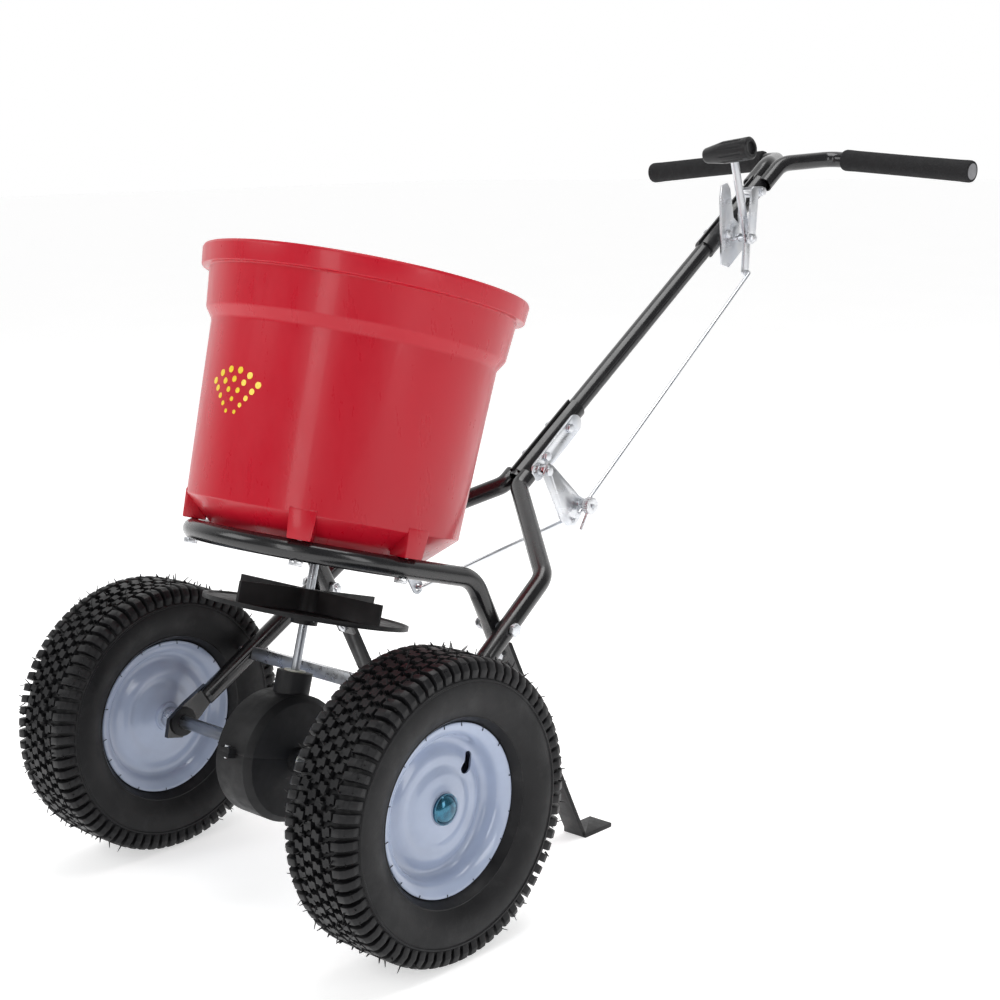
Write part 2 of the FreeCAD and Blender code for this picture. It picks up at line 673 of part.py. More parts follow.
def impeller():
    disc = spun([(SHAFT_R, DISC_Z), (DISC_R, DISC_Z), (DISC_R, DISC_Z + 5), (DISC_R - 3, DISC_Z + 5),
                 (DISC_R - 5, DISC_Z + 3), (SHAFT_R, DISC_Z + 3)])
    hub = ring(15.0, SHAFT_R, VANE_TOP - DISC_Z + 12, (0, 0, DISC_Z - 12))
    vanes = [spin(box(12, VANE_R, -1.6, 1.6, DISC_Z + 2, VANE_TOP), VANE_TURN + 90 * i) for i in range(4)]
    body = fuse([disc, hub] + vanes)
    return body.cut(cyl(1.5, 40, (-20, 0, DISC_Z - 6.0), X))


def agitator():
    """Cross rod that stirs the granules above the hopper floor, with turned-up ends."""
    points = [(0, -34, AGITATOR_Z + 14), (0, -34, AGITATOR_Z), (0, 34, AGITATOR_Z), (0, 34, AGITATOR_Z + 14)]
    return sweep(points, [6.0, 6.0], 2.0 - 0.01)


def shaft_pins():
    return Part.makeCompound([cyl(1.5, length, (-length / 2, 0, z), X)
                              for z, length in ((PINION_Z0 - 2.5, 18.0), (DISC_Z - 6.0, 32.0))])


# ---------------------------------------------------------------- wheels (drawn at x = 0, then moved)
def tyre():
    w, r = TYRE_HALF_W, TYRE_R
    bead = RIM_HALF_W - 5.1
    lip = RIM_HALF_W - RIM_WALL - 0.1
    outer = [(BEAD_R, -bead), (FLANGE_R + 0.5, -lip), (104, -w + 6), (120, -w), (134, -w + 1), (147, -w + 8),
             (154, -w + 18), (r, -w + 34), (r, w - 34), (154, w - 18), (147, w - 8), (134, w - 1), (120, w),
             (104, w - 6), (FLANGE_R + 0.5, lip), (BEAD_R, bead)]
    inner = [(BEAD_R, 19), (BEAD_R + 9, 20), (104, w - 13), (120, w - 7), (134, w - 8), (143, w - 16),
             (149, w - 34), (149, -w + 34), (143, -w + 16), (134, -w + 8), (120, -w + 7), (104, -w + 13),
             (BEAD_R + 9, -20), (BEAD_R, -19)]
    return spun(outer + inner, X)


def rim(outer_side):
    """Pressed two-piece wheel with a welded hub tube; the disc bulges towards the outer side."""
    t, w = RIM_WALL, RIM_HALF_W
    barrel_out = [(FLANGE_R, w), (FLANGE_R - 3, w), (BEAD_R - t, w - 4), (BEAD_R - t - 4, 10)]
    dish_face = [(60, 9), (46, 14), (30, 18), (HUB_R, 20)]
    dish_back = [(HUB_R, 20 - t), (30, 18 - t), (46, 14 - t), (60, 9 - t), (BEAD_R - t - 4, -2)]
    barrel_in = [(BEAD_R - t - 2, -w + 4), (FLANGE_R - 3, -w), (FLANGE_R, -w), (FLANGE_R, -w + t),
                 (BEAD_R - 0.02, -w + 5), (BEAD_R - 2, -12), (BEAD_R - 2, 12), (BEAD_R - 0.02, w - 5), (FLANGE_R, w - t)]
    body = spun(barrel_out + dish_face + dish_back + barrel_in, X)
    hub = ring(HUB_R, HUB_BORE_R, HUB_IN + HUB_OUT, (-HUB_IN, 0, 0), X)
    body = fuse([body, hub])
    sy, sz = polar(VALVE_AT_R, VALVE_ANGLE)
    ty, tz = polar(VALVE_AT_R + VALVE_SLOT_L, VALVE_ANGLE)
    slot = strap((sy, sz), (ty, tz), 9.0, -8.0, 24.0)
    hole_y, hole_z = polar(BEAD_R - 14, VALVE_ANGLE)
    reach = Vector(0, *polar(1, VALVE_ANGLE))
    valve_hole = Part.makeCylinder(4.0, 30, Vector(VALVE_X, hole_y, hole_z), reach)
    body = body.cut(slot).cut(valve_hole)
    if outer_side < 0:
        body = mirrored(body)
    return body


def valve(outer_side):
    """Rubber tyre valve that comes out of the barrel towards the hub."""
    reach = Vector(0, *polar(1, VALVE_ANGLE))
    seat = reach * (BEAD_R + 1.0) + Vector(VALVE_X, 0, 0)
    body = Part.makeCylinder(3.9, 17.0, seat - reach * 17.0, reach)
    cap = Part.makeCylinder(2.9, 8.0, seat - reach * 24.0, reach)
    body = fuse([body, cap])
    return body if outer_side > 0 else mirrored(body)


def hub_bushes(bore):
    return Part.makeCompound([ring(HUB_BORE_R - 0.01, bore, 12.0, (x, 0, 0), X) for x in (-HUB_IN, HUB_OUT - 12.0)])


def hub_cap():
    """Domed push-on cap that holds the wheel on the axle end."""
    dome = spun([(0, AXLE_END + 5), (9, AXLE_END + 3.6), (15, AXLE_END), (16.5, AXLE_END - 4), (15, AXLE_END - 4),
                 (14, AXLE_END), (0, AXLE_END)], X)
    grip_ring = ring(10.0, AXLE_R, 4.0, (AXLE_END - 4, 0, 0), X)
    return fuse([dome, grip_ring])


def wheel_pin():
    """Pin that locks the right hub to the axle."""
    return cyl(WHEEL_PIN_R - 0.01, 2 * HUB_R + 8, (WHEEL_PIN_X, -HUB_R - 4, 0), Y)


def axle_washers():
    solids = []
    for side in (1, -1):
        x0 = side * (ARM_AXLE_X + 6.5)
        x1 = side * (WHEEL_X - HUB_IN - GAP)
        solids.append(ring(12.0, AXLE_R + CLEAR, abs(x1 - x0), (min(x0, x1), 0, 0), X))
    return Part.makeCompound(solids)


# ---------------------------------------------------------------- lever and rods
PLATE_X0 = SHELL_OUT
PLATE_X1 = SHELL_OUT + STRAP_T
LEVER_X0 = LINK_X - 2.0
LEVER_X1 = LINK_X + 2.0
GUIDE_X0 = LEVER_X1 + 3.5
GUIDE_X1 = GUIDE_X0 + 2.5
ROD_X = LEVER_X1 + 4.0 + ROD_R
STOP_PIN = (637.5, 800.0)


def lever_bracket():
    """Inner and outer plates that carry the lever's pivot, bolted beside the left handlebar."""
    y, z = LEVER_PIVOT
    inner_face = [(616.0, 694.0), (633.0, 694.0), (y + 13, z - 10), (y + 12, z + 9), (624.0, 762.0), (606.0, 797.0),
                  (597.0, 803.0), (587.0, 797.0), (588.0, 782.0)]
    loop = [Vector(PLATE_X0, *p) for p in inner_face]
    inner = Part.Face(Part.makePolygon(loop + [loop[0]])).extrude(Vector(STRAP_T, 0, 0))
    outer = strap(LEVER_PIVOT, STOP_PIN, 17.0, GUIDE_X0, GUIDE_X1)
    stop = cyl(4.0, GUIDE_X0 - PLATE_X0, (PLATE_X0, *STOP_PIN), X)
    upper_bolt = stem_at(STEM_BOLTS_HIGH[1])
    arm = strap(STOP_PIN, upper_bolt, 14.0, PLATE_X0, PLATE_X1)
    web = strap(STOP_PIN, (y - 4, z + 14), 12.0, PLATE_X0, PLATE_X1)
    body = fuse([inner, web, arm, stop, outer])
    bores = [cyl(3.05, 40, (0, y, z), X), cyl(3.2, 20, (0, *stem_at(STEM_BOLTS_HIGH[0])), X),
             cyl(3.2, 20, (0, *upper_bolt), X)]
    return body.cut(Part.makeCompound(bores))


def lever_pivot_bolt():
    shank = cyl(3.0, GUIDE_X1 + 6.0 - PLATE_X0 + 5.0, (PLATE_X0 - 5.0, *LEVER_PIVOT), X)
    return fuse([shank, hexagon(10.0, 4.0, (PLATE_X0 - 5.0, *LEVER_PIVOT), X),
                 hexagon(10.0, 5.0, (GUIDE_X1, *LEVER_PIVOT), X)])


def grip_tilted(shape):
    """Swing a shape about the lever's top so that its outer end rises."""
    return spin(shape, -GRIP_RISE, Y, (LINK_X, *LEVER_TOP))


def control_lever():
    lower = strap(LEVER_LOW, LEVER_PIVOT, 13.0, LEVER_X0, LEVER_X1)
    upper = strap(LEVER_PIVOT, LEVER_TOP, 13.0, LEVER_X0, LEVER_X1)
    start = PLATE_X1 + 0.15
    hub = cyl(6.0, LEVER_X1 - start, (start, *LEVER_PIVOT), X)
    peg = grip_tilted(cyl(4.5, 56.0, (LINK_X - 30.0, *LEVER_TOP), X))
    body = fuse([lower, upper, peg, hub])
    return body.cut(Part.makeCompound([cyl(3.05, 30, (start - 1, *LEVER_PIVOT), X),
                                       cyl(2.6, 30, (LINK_X - 15, *LEVER_LOW), X)]))


def lever_grip():
    """Fluted tapered hand grip, hollow at its outer end, pushed over the lever's peg."""
    body = spun([(0, -44.0), (9.5, -44.0), (10.5, -42.0), (15.5, -12.0), (15.5, 28.0), (13.0, 30.0), (9.0, 30.0),
                 (9.0, 26.5), (0, 26.5)], X)
    flutes = [cyl(3.0, 60, (-40, *polar(17.2, 36 * i)), X) for i in range(10)]
    body = body.cut(Part.makeCompound(flutes))
    body.translate(Vector(LINK_X, *LEVER_TOP))
    body = grip_tilted(body)
    return body.cut(control_lever())


def rod_heading():
    """Unit step from the lever's lower end towards the bell crank."""
    return (Vector(0, *CRANK_UPPER) - Vector(0, *LEVER_LOW)).normalize()


def upper_rod():
    """Long rod from the lever's lower end to the adjuster on the bell crank, hooked at the top."""
    end = Vector(ROD_X, *CRANK_UPPER) + rod_heading() * 14.0
    points = [(LEVER_X0 - 3.0, *LEVER_LOW), (ROD_X, *LEVER_LOW), tuple(end)]
    return sweep(points, [4.0], ROD_R)


def crank_bracket():
    """Strap bolted over the left wheel arm, with the bell crank's pivot at its lower end."""
    body = strap(stem_at(24.0, -5.0), stem_at(110.0, -3.0), 24.0, PLATE_X0, PLATE_X1)
    cuts = [cyl(3.2, 20, (0, *stem_at(run)), X) for run in STEM_BOLTS_LOW]
    cuts.append(cyl(3.0, 20, (0, *CRANK_PIVOT), X))
    return body.cut(Part.makeCompound(cuts))


CRANK_X1 = LEVER_X0 + 3.0
PIN_SLOT_R = 4.5            # oversize hole that lets the adjuster's pin float


def crank_pin():
    """Shouldered rivet that the bell crank turns on."""
    return fuse([cyl(3.0, CRANK_X1 + 0.3 - PLATE_X0, (PLATE_X0, *CRANK_PIVOT), X),
                 cyl(5.5, 2.5, (CRANK_X1 + 0.3, *CRANK_PIVOT), X)])


def bell_crank():
    py, pz = CRANK_PIVOT
    uy, uz = CRANK_UPPER
    ly, lz = CRANK_LOWER
    outline = [(py - 8, pz - 6), (ly - 24, lz - 2), (ly - 8, lz - 9), (ly + 7, lz - 6), (uy + 9, uz - 5),
               (uy + 7, uz + 8), (uy - 4, uz + 10), (py + 7, pz + 8), (py - 3, pz + 10)]
    loop = [Vector(LEVER_X0, *p) for p in outline]
    plate = Part.Face(Part.makePolygon(loop + [loop[0]])).extrude(Vector(3.0, 0, 0))
    start = PLATE_X1 + 0.15
    hub = cyl(8.0, LEVER_X0 + 1.0 - start, (start, py, pz), X)
    cuts = [cyl(3.05, 30, (start - 1, py, pz), X), cyl(ROD_R, 30, (start, ly, lz), X),
            cyl(PIN_SLOT_R, 30, (start, uy, uz), X)]
    return fuse([plate, hub]).cut(Part.makeCompound(cuts))


def adjuster_block():
    """Swivel clamped on the rod's lower end; its pin rides in the bell crank's oversize hole."""
    start = LEVER_X0 - 4.0
    pin = cyl(3.0, ROD_X - start, (start, *CRANK_UPPER), X)
    head = cyl(6.0, 2.0, (start - 2.0, *CRANK_UPPER), X)
    block = cyl(8.0, 9.0, (ROD_X - 4.5, *CRANK_UPPER), X)
    bore = Part.makeCylinder(ROD_R, 60.0, Vector(ROD_X, *CRANK_UPPER) - rod_heading() * 30, rod_heading())
    screw = cyl(2.5, 11.0, (ROD_X + 3.5, *CRANK_UPPER), X)
    return fuse([pin, head, block]).cut(bore).fuse(screw).removeSplitter()


def adjuster_knob():
    """Knurled thumb wheel with a tommy bar that turns on the block's screw."""
    x0 = ROD_X + 4.5 + GAP
    wheel = cyl(11.0, 8.0, (x0, *CRANK_UPPER), X)
    notches = []
    for i in range(18):
        dy, dz = polar(11.7, 20 * i)
        notches.append(cyl(1.4, 8.0, (x0, CRANK_UPPER[0] + dy, CRANK_UPPER[1] + dz), X))
    wheel = wheel.cut(Part.makeCompound(notches))
    bar_end = Vector(x0 + 4.0, *CRANK_UPPER)
    bar = Part.makeCylinder(2.2, 33.0, bar_end, Vector(0, -0.28, -0.96))
    return fuse([wheel, bar]).cut(cyl(2.5 + CLEAR, 12.0, (x0 - 1, *CRANK_UPPER), X))


COTTER_R = 0.9


def lower_rod():
    """Short rod from the bell crank to the shutter's ear, with both ends turned through their holes."""
    x1 = LEVER_X0 - 4.0 - ROD_R
    points = [(CRANK_X1 + 5.0, *CRANK_LOWER), (x1, *CRANK_LOWER), (x1, *GATE_PIN), (EAR_X0 - 6.0, *GATE_PIN)]
    rod = sweep(points, [3.0, 2.6], ROD_R - 0.1)
    return rod.cut(cyl(COTTER_R, 20, (EAR_X0 - 3.5, GATE_PIN[0], GATE_PIN[1] - 10.0), Z))


def rod_cotter():
    """Split pin through the lower rod's shutter end."""
    return cyl(COTTER_R - 0.01, 14.0, (EAR_X0 - 3.5, GATE_PIN[0], GATE_PIN[1] - 7.0), Z)


# ---------------------------------------------------------------- assembly
def build():
    keep("hopper", hopper())
    keep("hopper_bolts", hopper_bolts())
    keep("hopper_ring", hopper_ring())
    keep("left_wheel_arm", wheel_arm(1))
    keep("right_wheel_arm", wheel_arm(-1))
    keep("handle_stem", stem())
    for name, side in (("left", 1), ("right", -1)):
        keep(name + "_handlebar", handlebar(side))
        keep(name + "_grip", grip(side))
        keep(name + "_end_plug", end_plug(side))
        keep(name + "_stand_leg", stand_leg(side))
    keep("cross_brace", cross_brace())
    keep("frame_bolts", frame_bolts())
    keep("leg_bolts", leg_bolts())
    keep("stem_bolts", stem_bolts())
    keep("gate_plate", gate_plate())
    keep("gate_guide", gate_guide())
    keep("guide_screws", guide_screws())
    keep("gearbox_upper", housing_half(True))
    keep("gearbox_lower", housing_half(False))
    keep("gearbox_screws", housing_screws())
    keep("gearbox_bushes", housing_bushes())
    keep("shaft_bush", shaft_bush())
    keep("arm_bushes", arm_bushes())
    keep("axle", axle())
    keep("crown_gear", crown_gear())
    keep("pinion", pinion())
    keep("impeller_shaft", impeller_shaft())
    keep("impeller", impeller())
    keep("agitator", agitator())
    keep("shaft_pins", shaft_pins())
    for name, side in (("left", 1), ("right", -1)):
        for kind, shape in (("tyre", tyre()), ("rim", rim(side)), ("valve", valve(side))):
            shape.translate(Vector(side * WHEEL_X, 0, 0))
            keep(name + "_" + kind, shape)
    left_bushes = hub_bushes(AXLE_R + CLEAR)
    left_bushes.translate(Vector(WHEEL_X, 0, 0))
    right_bushes = mirrored(hub_bushes(AXLE_R))
    right_bushes.translate(Vector(-WHEEL_X, 0, 0))
    pin_bore = cyl(WHEEL_PIN_R, 60, (WHEEL_PIN_X, -30, 0), Y)
    keep("right_rim", parts["right_rim"].cut(pin_bore))
    keep("left_hub_bushes", left_bushes)
    keep("right_hub_bushes", right_bushes.cut(pin_bore))
    keep("hub_caps", Part.makeCompound([hub_cap(), mirrored(hub_cap())]))
    keep("wheel_pin", wheel_pin())
    keep("axle_washers", axle_washers())
    keep("lever_bracket", lever_bracket())
    keep("lever_pivot_bolt", lever_pivot_bolt())
    keep("control_lever", control_lever())
    keep("lever_grip", lever_grip())
    keep("upper_rod", upper_rod())
    keep("crank_bracket", crank_bracket())
    keep("crank_pin", crank_pin())
    keep("bell_crank", bell_crank())
    keep("adjuster_block", adjuster_block())
    keep("adjuster_knob", adjuster_knob())
    keep("lower_rod", lower_rod())
    keep("rod_cotter", rod_cotter())


def lean_back():
    """Lean every piece about the axle and lift it, then centre the whole on the floor."""
    whole = FreeCAD.BoundBox()
    for shape in parts.values():
        shape.rotate(Vector(), X, -LEAN)
        shape.translate(Vector(0, 0, TYRE_R))
        whole.add(shape.BoundBox)
    middle = (whole.YMin + whole.YMax) / 2
    for shape in parts.values():
        shape.translate(Vector(0, -middle, 0))
    print("size", round(whole.XLength, 2), round(whole.YLength, 2), round(whole.ZLength, 2))
    print("axle at y", round(-middle, 4), "z", TYRE_R, "lowest", round(whole.ZMin, 3))


build()
lean_back()
for node, solid in parts.items():
    solid.exportStep("parts/" + node + ".step")
    print(node, len(solid.Solids), solid.isValid(), round(solid.Volume / 1000, 2))
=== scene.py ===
"""Looks of the walk-behind broadcast spreader: wheels, hopper, paint, zinc, foam and a plain studio."""

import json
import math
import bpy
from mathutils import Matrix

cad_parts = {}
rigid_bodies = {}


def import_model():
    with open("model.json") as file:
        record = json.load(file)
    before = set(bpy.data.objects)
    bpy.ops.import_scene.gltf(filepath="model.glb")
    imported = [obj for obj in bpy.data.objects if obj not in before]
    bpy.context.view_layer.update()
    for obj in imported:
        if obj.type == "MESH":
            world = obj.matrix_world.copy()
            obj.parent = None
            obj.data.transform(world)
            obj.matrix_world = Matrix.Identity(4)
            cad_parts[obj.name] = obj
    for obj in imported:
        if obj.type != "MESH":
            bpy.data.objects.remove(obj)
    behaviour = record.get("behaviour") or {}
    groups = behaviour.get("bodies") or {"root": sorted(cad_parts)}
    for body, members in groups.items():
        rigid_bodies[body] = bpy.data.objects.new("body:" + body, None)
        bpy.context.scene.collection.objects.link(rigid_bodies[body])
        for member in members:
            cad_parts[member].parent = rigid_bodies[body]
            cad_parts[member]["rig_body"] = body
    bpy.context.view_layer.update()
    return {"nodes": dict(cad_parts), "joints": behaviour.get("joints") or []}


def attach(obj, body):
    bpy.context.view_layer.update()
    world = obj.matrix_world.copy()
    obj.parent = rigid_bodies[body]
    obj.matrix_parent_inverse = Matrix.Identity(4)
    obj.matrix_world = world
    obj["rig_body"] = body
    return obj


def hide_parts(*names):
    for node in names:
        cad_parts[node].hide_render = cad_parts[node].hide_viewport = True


bl_info = {
    "name": "Broadcast spreader looks",
    "version": (1, 0, 0),
    "blender": (4, 5, 0),
    "location": "3D View > Sidebar > Spreader",
    "description": "Builds the pieces and finishes of a walk-behind broadcast spreader round its CAD frame",
    "category": "Object",
}

import bmesh
import bpy
from bpy.props import FloatProperty, FloatVectorProperty, IntProperty, PointerProperty
from mathutils import Matrix, Vector

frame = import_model()

# ------------------------------------------------------------------ the machine's own axes
# x to the operator's left along the axle, y back to the handle, z up the hopper and impeller axis
JOINTS = {joint["name"]: joint for joint in frame["joints"]}
AXLE = Vector(JOINTS["axle_spin"]["pos_m"])
ACROSS = Vector((1, 0, 0))
SHAFT = Vector(JOINTS["spinner_spin"]["axis"])
BACK = SHAFT.cross(ACROSS)
TURNED = Matrix((ACROSS, BACK, SHAFT)).transposed().to_4x4()
MACHINE = Matrix.Translation(AXLE) @ TURNED
TO_MACHINE = MACHINE.inverted()


def span(node):
    """Lowest and highest corner of a CAD node in the machine's own axes."""
    points = [TO_MACHINE @ v.co for v in frame["nodes"][node].data.vertices]
    return (Vector([min(p[i] for p in points) for i in range(3)]),
            Vector([max(p[i] for p in points) for i in range(3)]))


TYRE_LOW, TYRE_HIGH = span("left_tyre")
RIM_LOW, RIM_HIGH = span("left_rim")
HOPPER_LOW, HOPPER_HIGH = span("hopper")
WHEEL_X = (TYRE_LOW.x + TYRE_HIGH.x) / 2
WHEEL_SIDES = (("left", 1, "left_wheel"), ("right", -1, "drive_axle"))


# ------------------------------------------------------------------ settings
class SpreaderWheelSettings(bpy.types.PropertyGroup):
    tyre_radius: FloatProperty(name="Tyre radius", description="Axle to the top of the tread lugs",
                               default=(TYRE_HIGH.z - TYRE_LOW.z) / 2, unit="LENGTH", subtype="DISTANCE")
    tyre_half_width: FloatProperty(name="Tyre half width", description="Centre plane to the widest sidewall",
                                   default=(TYRE_HIGH.x - TYRE_LOW.x) / 2, unit="LENGTH", subtype="DISTANCE")
    shoulder_bars: IntProperty(name="Shoulder bars", description="Bars round each shoulder of a tyre",
                               default=72, min=24, max=120)
    lug_rows: IntProperty(name="Lug rows", description="Rows of small lugs across the crown",
                          default=4, min=2, max=6)
    lugs_round: IntProperty(name="Lugs round", description="Lugs round each row", default=64, min=24, max=120)
    lug_height: FloatProperty(name="Lug height", description="How far the tread stands off the carcass",
                              default=0.0055, unit="LENGTH", subtype="DISTANCE")
    whiskers: IntProperty(name="Moulding whiskers", description="Vent whiskers round each row",
                          default=44, min=0)
    whisker_length: FloatProperty(name="Whisker length", description="Length of a vent whisker",
                                  default=0.0085, unit="LENGTH", subtype="DISTANCE")
    whisker_radius: FloatProperty(name="Whisker radius", description="Radius of a vent whisker at its root",
                                  default=0.0011, unit="LENGTH", subtype="DISTANCE")
    flange_radius: FloatProperty(name="Rim flange radius", description="Outer edge of the pressed rim",
                                 default=(RIM_HIGH.z - RIM_LOW.z) / 2, unit="LENGTH", subtype="DISTANCE")
    rim_sheet: FloatProperty(name="Rim sheet", description="Thickness of the pressed rim",
                             default=0.0022, unit="LENGTH", subtype="DISTANCE")
    slot_radius: FloatProperty(name="Valve slot radius", description="Radius of the valve slot's round ends",
                               default=0.0062, unit="LENGTH", subtype="DISTANCE")


class SpreaderBodySettings(bpy.types.PropertyGroup):
    hopper_wall: FloatProperty(name="Hopper wall", description="Moulded wall thickness",
                               default=0.003, unit="LENGTH", subtype="DISTANCE")
    edge_soften: FloatProperty(name="Edge softening", description="Rounding on sheet and fastener edges",
                               default=0.0004, unit="LENGTH", subtype="DISTANCE")
    grip_bulge: FloatProperty(name="Grip bulge", description="Extra radius of the foam grip's ends",
                              default=0.0003, unit="LENGTH", subtype="DISTANCE")


class SpreaderColourSettings(bpy.types.PropertyGroup):
    hopper: FloatVectorProperty(name="Hopper", description="Moulded hopper colour", subtype="COLOR",
                                default=(0.50, 0.006, 0.020), min=0, max=1)
    enamel: FloatVectorProperty(name="Frame", description="Frame enamel", subtype="COLOR",
                                default=(0.007, 0.007, 0.008), min=0, max=1)
    rim: FloatVectorProperty(name="Rim", description="Rim enamel", subtype="COLOR",
                             default=(0.36, 0.42, 0.56), min=0, max=1)
    rubber: FloatVectorProperty(name="Tyre", description="Tyre rubber", subtype="COLOR",
                                default=(0.006, 0.006, 0.007), min=0, max=1)
    zinc: FloatVectorProperty(name="Zinc", description="Zinc plate on brackets, rods and fasteners",
                              subtype="COLOR", default=(0.70, 0.71, 0.73), min=0, max=1)
    cap: FloatVectorProperty(name="Hub cap", description="Metallic hub cap colour", subtype="COLOR",
                             default=(0.006, 0.080, 0.150), min=0, max=1)
    dots: FloatVectorProperty(name="Dot fan", description="Printed dot fan on the hopper", subtype="COLOR",
                              default=(0.85, 0.62, 0.01), min=0, max=1)


class SpreaderStageSettings(bpy.types.PropertyGroup):
    azimuth: FloatProperty(name="Azimuth", description="Camera's place round the machine, 0 looks along +Y",
                           default=math.radians(43.58), subtype="ANGLE")
    elevation: FloatProperty(name="Elevation", description="Camera's place above the horizon",
                             default=math.radians(9.46), subtype="ANGLE")
    roll: FloatProperty(name="Roll", description="Camera's turn about its own line of sight",
                        default=math.radians(-1.10), subtype="ANGLE")
    camera_at: FloatVectorProperty(name="Camera place", description="Where the camera stands",
                                   default=(1.494, -1.6384, 0.8144), subtype="TRANSLATION", unit="LENGTH")
    lens: FloatProperty(name="Lens", description="Focal length in millimetres", default=64.87)
    shift: FloatVectorProperty(name="Shift", description="Sideways and vertical lens shift", size=2,
                               default=(-0.0021, -0.0543))
    floor_glow: FloatProperty(name="Floor glow", description="Light given off by the table under the machine",
                              default=0.55, min=0.0)
    backdrop: FloatProperty(name="Backdrop", description="Brightness behind the machine",
                            default=1.0, min=0.0)
    surround: FloatProperty(name="Surround", description="Brightness on the camera's side",
                            default=0.22, min=0.0)
    floor_colour: FloatVectorProperty(name="Floor", description="Floor colour", subtype="COLOR",
                                      default=(0.86, 0.86, 0.86), min=0, max=1)


# ------------------------------------------------------------------ finishes
class Finish:
    """A Principled material whose colour, gloss and relief vary with the piece's own coordinates."""

    def __init__(self, name, colour, roughness, metallic=0.0, coat=0.0, specular=0.5):
        self.material = bpy.data.materials.new(name)
        self.material.use_nodes = True
        self.nodes = self.material.node_tree.nodes
        self.links = self.material.node_tree.links
        self.shader = self.nodes["Principled BSDF"]
        self.colour = (*colour, 1.0)
        self.set("Base Color", self.colour)
        self.set("Roughness", roughness)
        self.set("Metallic", metallic)
        self.set("Coat Weight", coat)
        self.set("Coat Roughness", 0.06)
        self.set("Specular IOR Level", specular)
        self.place = self.nodes.new("ShaderNodeTexCoord").outputs["Object"]
        self.relief = None

    def set(self, socket, value):
        self.shader.inputs[socket].default_value = value

    def scaled(self, stretch):
        mapping = self.nodes.new("ShaderNodeMapping")
        mapping.inputs["Scale"].default_value = stretch
        self.links.new(self.place, mapping.inputs["Vector"])
        return mapping.outputs["Vector"]

    def noise(self, scale, detail=4.0, roughness=0.5, stretch=(1, 1, 1)):
        node = self.nodes.new("ShaderNodeTexNoise")
        node.inputs["Scale"].default_value = scale
        node.inputs["Detail"].default_value = detail
        node.inputs["Roughness"].default_value = roughness
        self.links.new(self.scaled(stretch), node.inputs["Vector"])
        return node.outputs["Fac"]

    def cells(self, scale, stretch=(1, 1, 1)):
        node = self.nodes.new("ShaderNodeTexVoronoi")
        node.inputs["Scale"].default_value = scale
        self.links.new(self.scaled(stretch), node.inputs["Vector"])
        return node.outputs["Distance"]

    def spread(self, source, low, high, start=0.3, end=0.7):
        """Map a pattern's start..end onto low..high."""
        node = self.nodes.new("ShaderNodeMapRange")
        node.inputs["From Min"].default_value = start
        node.inputs["From Max"].default_value = end
        node.inputs["To Min"].default_value = low
        node.inputs["To Max"].default_value = high
        self.links.new(source, node.inputs["Value"])
        return node.outputs["Result"]

    def tint(self, source, other, start=0.4, end=0.7):
        """Blend the base colour towards another where a pattern is high."""
        mix = self.nodes.new("ShaderNodeMix")
        mix.data_type = "RGBA"
        socket = self.shader.inputs["Base Color"]
        if socket.is_linked:
            self.links.new(socket.links[0].from_socket, mix.inputs["A"])
        else:
            mix.inputs["A"].default_value = self.colour
        mix.inputs["B"].default_value = (*other, 1.0)
        self.links.new(self.spread(source, 0.0, 1.0, start, end), mix.inputs["Factor"])
        self.links.new(mix.outputs["Result"], socket)
        return self

    def gloss(self, source, low, high, start=0.3, end=0.7):
        self.links.new(self.spread(source, low, high, start, end), self.shader.inputs["Roughness"])
        return self

    def bump(self, source, height, strength=1.0):
        """Add relief of a height in metres, on top of any earlier one."""
        node = self.nodes.new("ShaderNodeBump")
        node.inputs["Distance"].default_value = height
        node.inputs["Strength"].default_value = strength
        self.links.new(source, node.inputs["Height"])
        if self.relief:
            self.links.new(self.relief, node.inputs["Normal"])
        self.relief = node.outputs["Normal"]
        self.links.new(self.relief, self.shader.inputs["Normal"])
        return self


def red_hopper_plastic(colours):
    """Rotationally moulded gloss plastic: faint flow streaks, orange peel and fine handling scuffs."""
    finish = Finish("red_hopper_plastic", colours.hopper, 0.30, specular=0.34, coat=0.12)
    darker = tuple(0.72 * c for c in colours.hopper)
    finish.tint(finish.noise(3.0, 3.0, stretch=(1, 1, 0.3)), darker, 0.42, 0.95)
    finish.gloss(finish.noise(55.0, 6.0, 0.65, (1, 1, 0.25)), 0.24, 0.38)
    finish.bump(finish.noise(120.0, 2.0), 0.00008, 0.5)
    finish.bump(finish.noise(14.0, 2.0), 0.0006, 0.35)
    return finish.material


def black_enamel(colours):
    """Gloss powder coat with orange peel and a little dust in its gloss."""
    finish = Finish("black_enamel", colours.enamel, 0.2, coat=0.3)
    finish.tint(finish.noise(9.0, 5.0), (0.016, 0.016, 0.018), 0.5, 0.85)
    finish.gloss(finish.noise(40.0, 5.0, 0.6), 0.16, 0.34)
    finish.bump(finish.noise(420.0, 2.0), 0.00005, 0.5)
    return finish.material


def satin_black(colours):
    """Thinner, flatter powder coat of the stand legs, with scuffs."""
    finish = Finish("satin_black", (0.008, 0.008, 0.009), 0.42, specular=0.3)
    finish.tint(finish.noise(35.0, 8.0, 0.7), (0.022, 0.022, 0.023), 0.58, 0.80)
    finish.gloss(finish.noise(60.0, 6.0, 0.7), 0.34, 0.56)
    finish.bump(finish.noise(700.0, 2.0), 0.00005, 0.6)
    return finish.material


